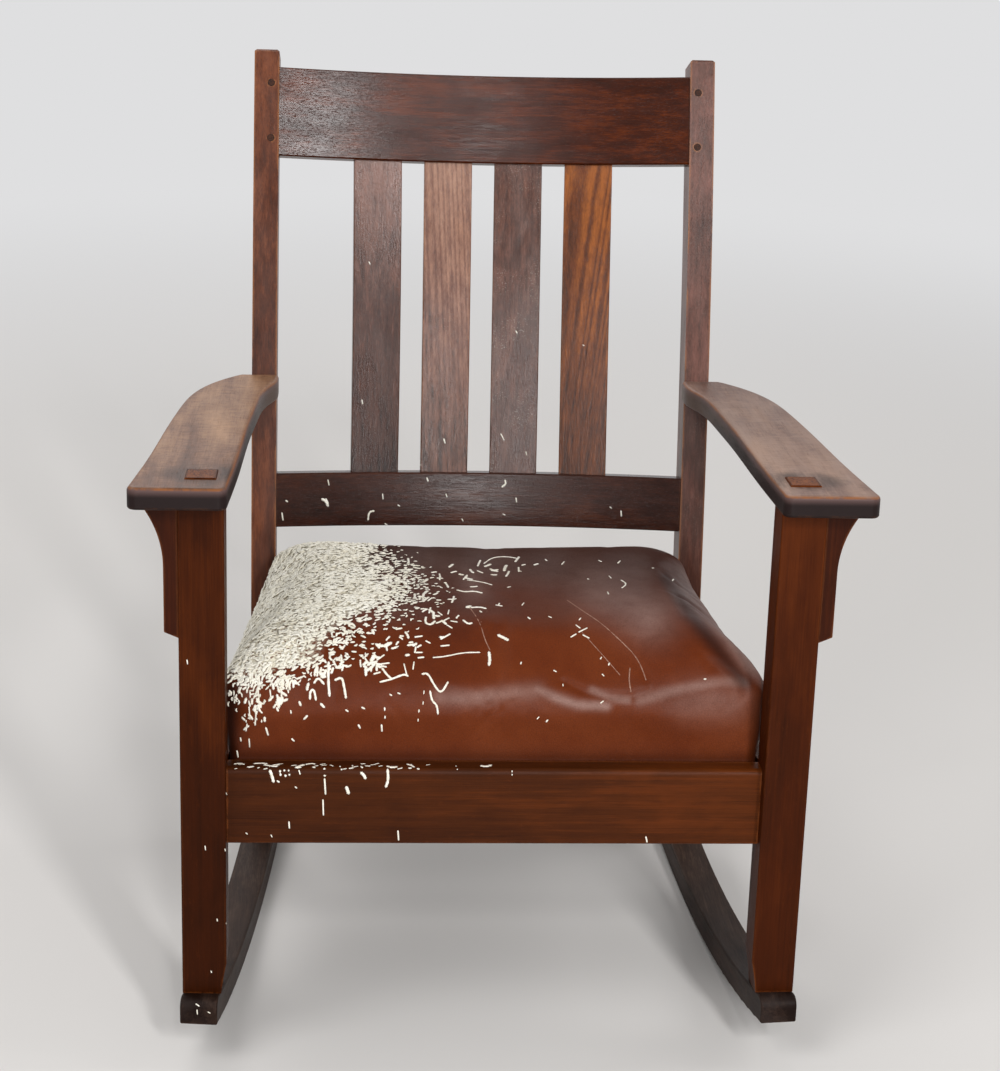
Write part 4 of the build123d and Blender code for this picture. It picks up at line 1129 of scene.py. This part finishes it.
seatTree = surfaces([cushion])
drips = bmesh.new()
for width, *points in seatDrips:
    layDrip(drips, seatTree, width * dripSlimness, pairs(points), dripHeights["drip"])
for (x, y), (reachX, reachY), count in seatClusters:
    for grain in range(count):
        middleX, middleY = dice.gauss(x, reachX / 2), dice.gauss(y, reachY / 2)
        steep = 1 if middleY > steepRow else 0.3
        half = dice.uniform(1.6, 3.6)
        angle = pi / 2 + dice.gauss(0, 0.35) if dice.random() < steep * 0.8 else dice.gauss(-0.2, 0.5)
        path = [(middleX - half * cos(angle), middleY - half * sin(angle))]
        path += [(middleX + dice.uniform(-0.6, 0.6), middleY + dice.uniform(-0.4, 0.4))]
        path += [(middleX + half * cos(angle), middleY + half * sin(angle))]
        layDrip(drips, seatTree, dice.uniform(1.9, 3.4), path, dripHeights["cluster"])
for x, y in seatSpecks:
    angle, reach = dice.uniform(0, 2 * pi), dice.uniform(0.6, 1.8)
    path = [(x + way * reach * cos(angle), y + way * reach * sin(angle)) for way in (-1, 1)]
    layDrip(drips, seatTree, dice.uniform(1.8, 2.8), path, dripHeights["speck"])
grainPiece("seat_drips", drips, cream, "seat")

scratches = bmesh.new()
for width, *points in seatScratches:
    layDrip(scratches, seatTree, width, pairs(points), dripHeights["scratch"])
grainPiece("seat_scratches", scratches, tan, "seat")

woodTrees = surfaces([nodes[name] for name in sprinkled])
drips = bmesh.new()
for width, *points in woodDrips:
    layDrip(drips, woodTrees, width, pairs(points), dripHeights["wood"])
for grain in range(railSpatter["grains"]):
    x = railSpatter["x"][0] + (railSpatter["x"][1] - railSpatter["x"][0]) * dice.random() ** 1.3
    y = dice.uniform(*railSpatter["y"])
    half = dice.uniform(0.5, 2.6)
    path = [(x - half, y + railSpatter["tilt"]), (x + half, y - railSpatter["tilt"])]
    layDrip(drips, woodTrees[:1], dice.uniform(1, 2.2), path, dripHeights["rail"])
grainPiece("wood_spatter", drips, cream, "frame")
print("spatter laid")


# Studio
studio = {
    "floor": "#dedbd8",
    "floorRadius": 9,
    "floorSides": 128,
    "fade": (1.2, 3.4),
    "sky": "#dfdfe0",
    "skyStrength": 0.36,
    "aim": (0, 0, 0.45),
    "lamps": {
        "key": {"place": (-1.8, -1.5, 2.8), "size": (1.7, 1.7), "power": 34},
        "wideSoftbox": {"place": (1.25, -3.4, 2.7), "size": (0.36, 1.1), "power": 66},
        "lowSoftbox": {"place": (0.22, -3.4, 1.15), "size": (0.32, 1.4), "power": 32},
        "highSoftbox": {"place": (0.25, -3.4, 3.1), "size": (0.22, 0.4), "power": 12},
        "side": {"place": (2.8, 0.2, 2.2), "size": (1.5, 1.5), "power": 20},
        "back": {"place": (-0.6, 2.5, 2.5), "size": (1.8, 1.4), "power": 34},
    },
}


# What the camera sees of the backdrop, straight or in a gloss, has the backdrop's own colour
def backdropRays(tree):
    rays = tree.nodes.new("ShaderNodeLightPath")
    names = ("Is Camera Ray", "Is Glossy Ray", "Is Transmission Ray")
    seen, glossy, through = (Signal(tree, rays.outputs[name]) for name in names)
    return seen.most(glossy).most(through)


# The floor fades into the backdrop at a distance, so that no horizon shows
def addFloor():
    sides, radius = studio["floorSides"], studio["floorRadius"]
    bpy.ops.mesh.primitive_circle_add(vertices=sides, radius=radius, fill_type="NGON")
    floor = bpy.context.object
    floor.name = "studio_floor"
    material, shader, place = newMaterial("studio_floor")
    finish(shader, {}, {"Base Color": paint(studio["floor"]), "Roughness": 0.85, "Specular IOR Level": 0.1})
    reach = place.node("ShaderNodeVectorMath", {"operation": "LENGTH"}, {0: place}, 1)
    fade = reach.between(*studio["fade"]) * backdropRays(place.tree)
    glow = place.node("ShaderNodeEmission", None, {"Color": paint(studio["sky"]), "Strength": 1})
    plain = Signal(place.tree, shader.outputs[0])
    mixed = place.node("ShaderNodeMixShader", None, {0: fade, 1: plain, 2: glow})
    output = next(node for node in place.tree.nodes if node.type == "OUTPUT_MATERIAL")
    place.tree.links.new(mixed.socket, output.inputs[0])
    floor.data.materials.append(material)


def addSky():
    world = bpy.data.worlds.new("studio_sky")
    bpy.context.scene.world = world
    world.use_nodes = True
    backdrop = world.node_tree.nodes["Background"]
    backdrop.inputs["Color"].default_value = paint(studio["sky"])
    strength = backdropRays(world.node_tree) * (1 - studio["skyStrength"]) + studio["skyStrength"]
    world.node_tree.links.new(strength.socket, backdrop.inputs["Strength"])


def addLamp(name, place, size, power):
    data = bpy.data.lights.new(name, "AREA")
    data.shape = "RECTANGLE"
    data.size, data.size_y = size
    data.energy = power
    lamp = bpy.data.objects.new(name, data)
    lamp.location = place
    lamp.rotation_euler = (Vector(studio["aim"]) - lamp.location).to_track_quat("-Z", "Y").to_euler()
    bpy.context.collection.objects.link(lamp)


addFloor()
addSky()
for name, lamp in studio["lamps"].items():
    addLamp(name, **lamp)
bpy.context.scene.view_settings.view_transform = "Standard"
print("studio lit")
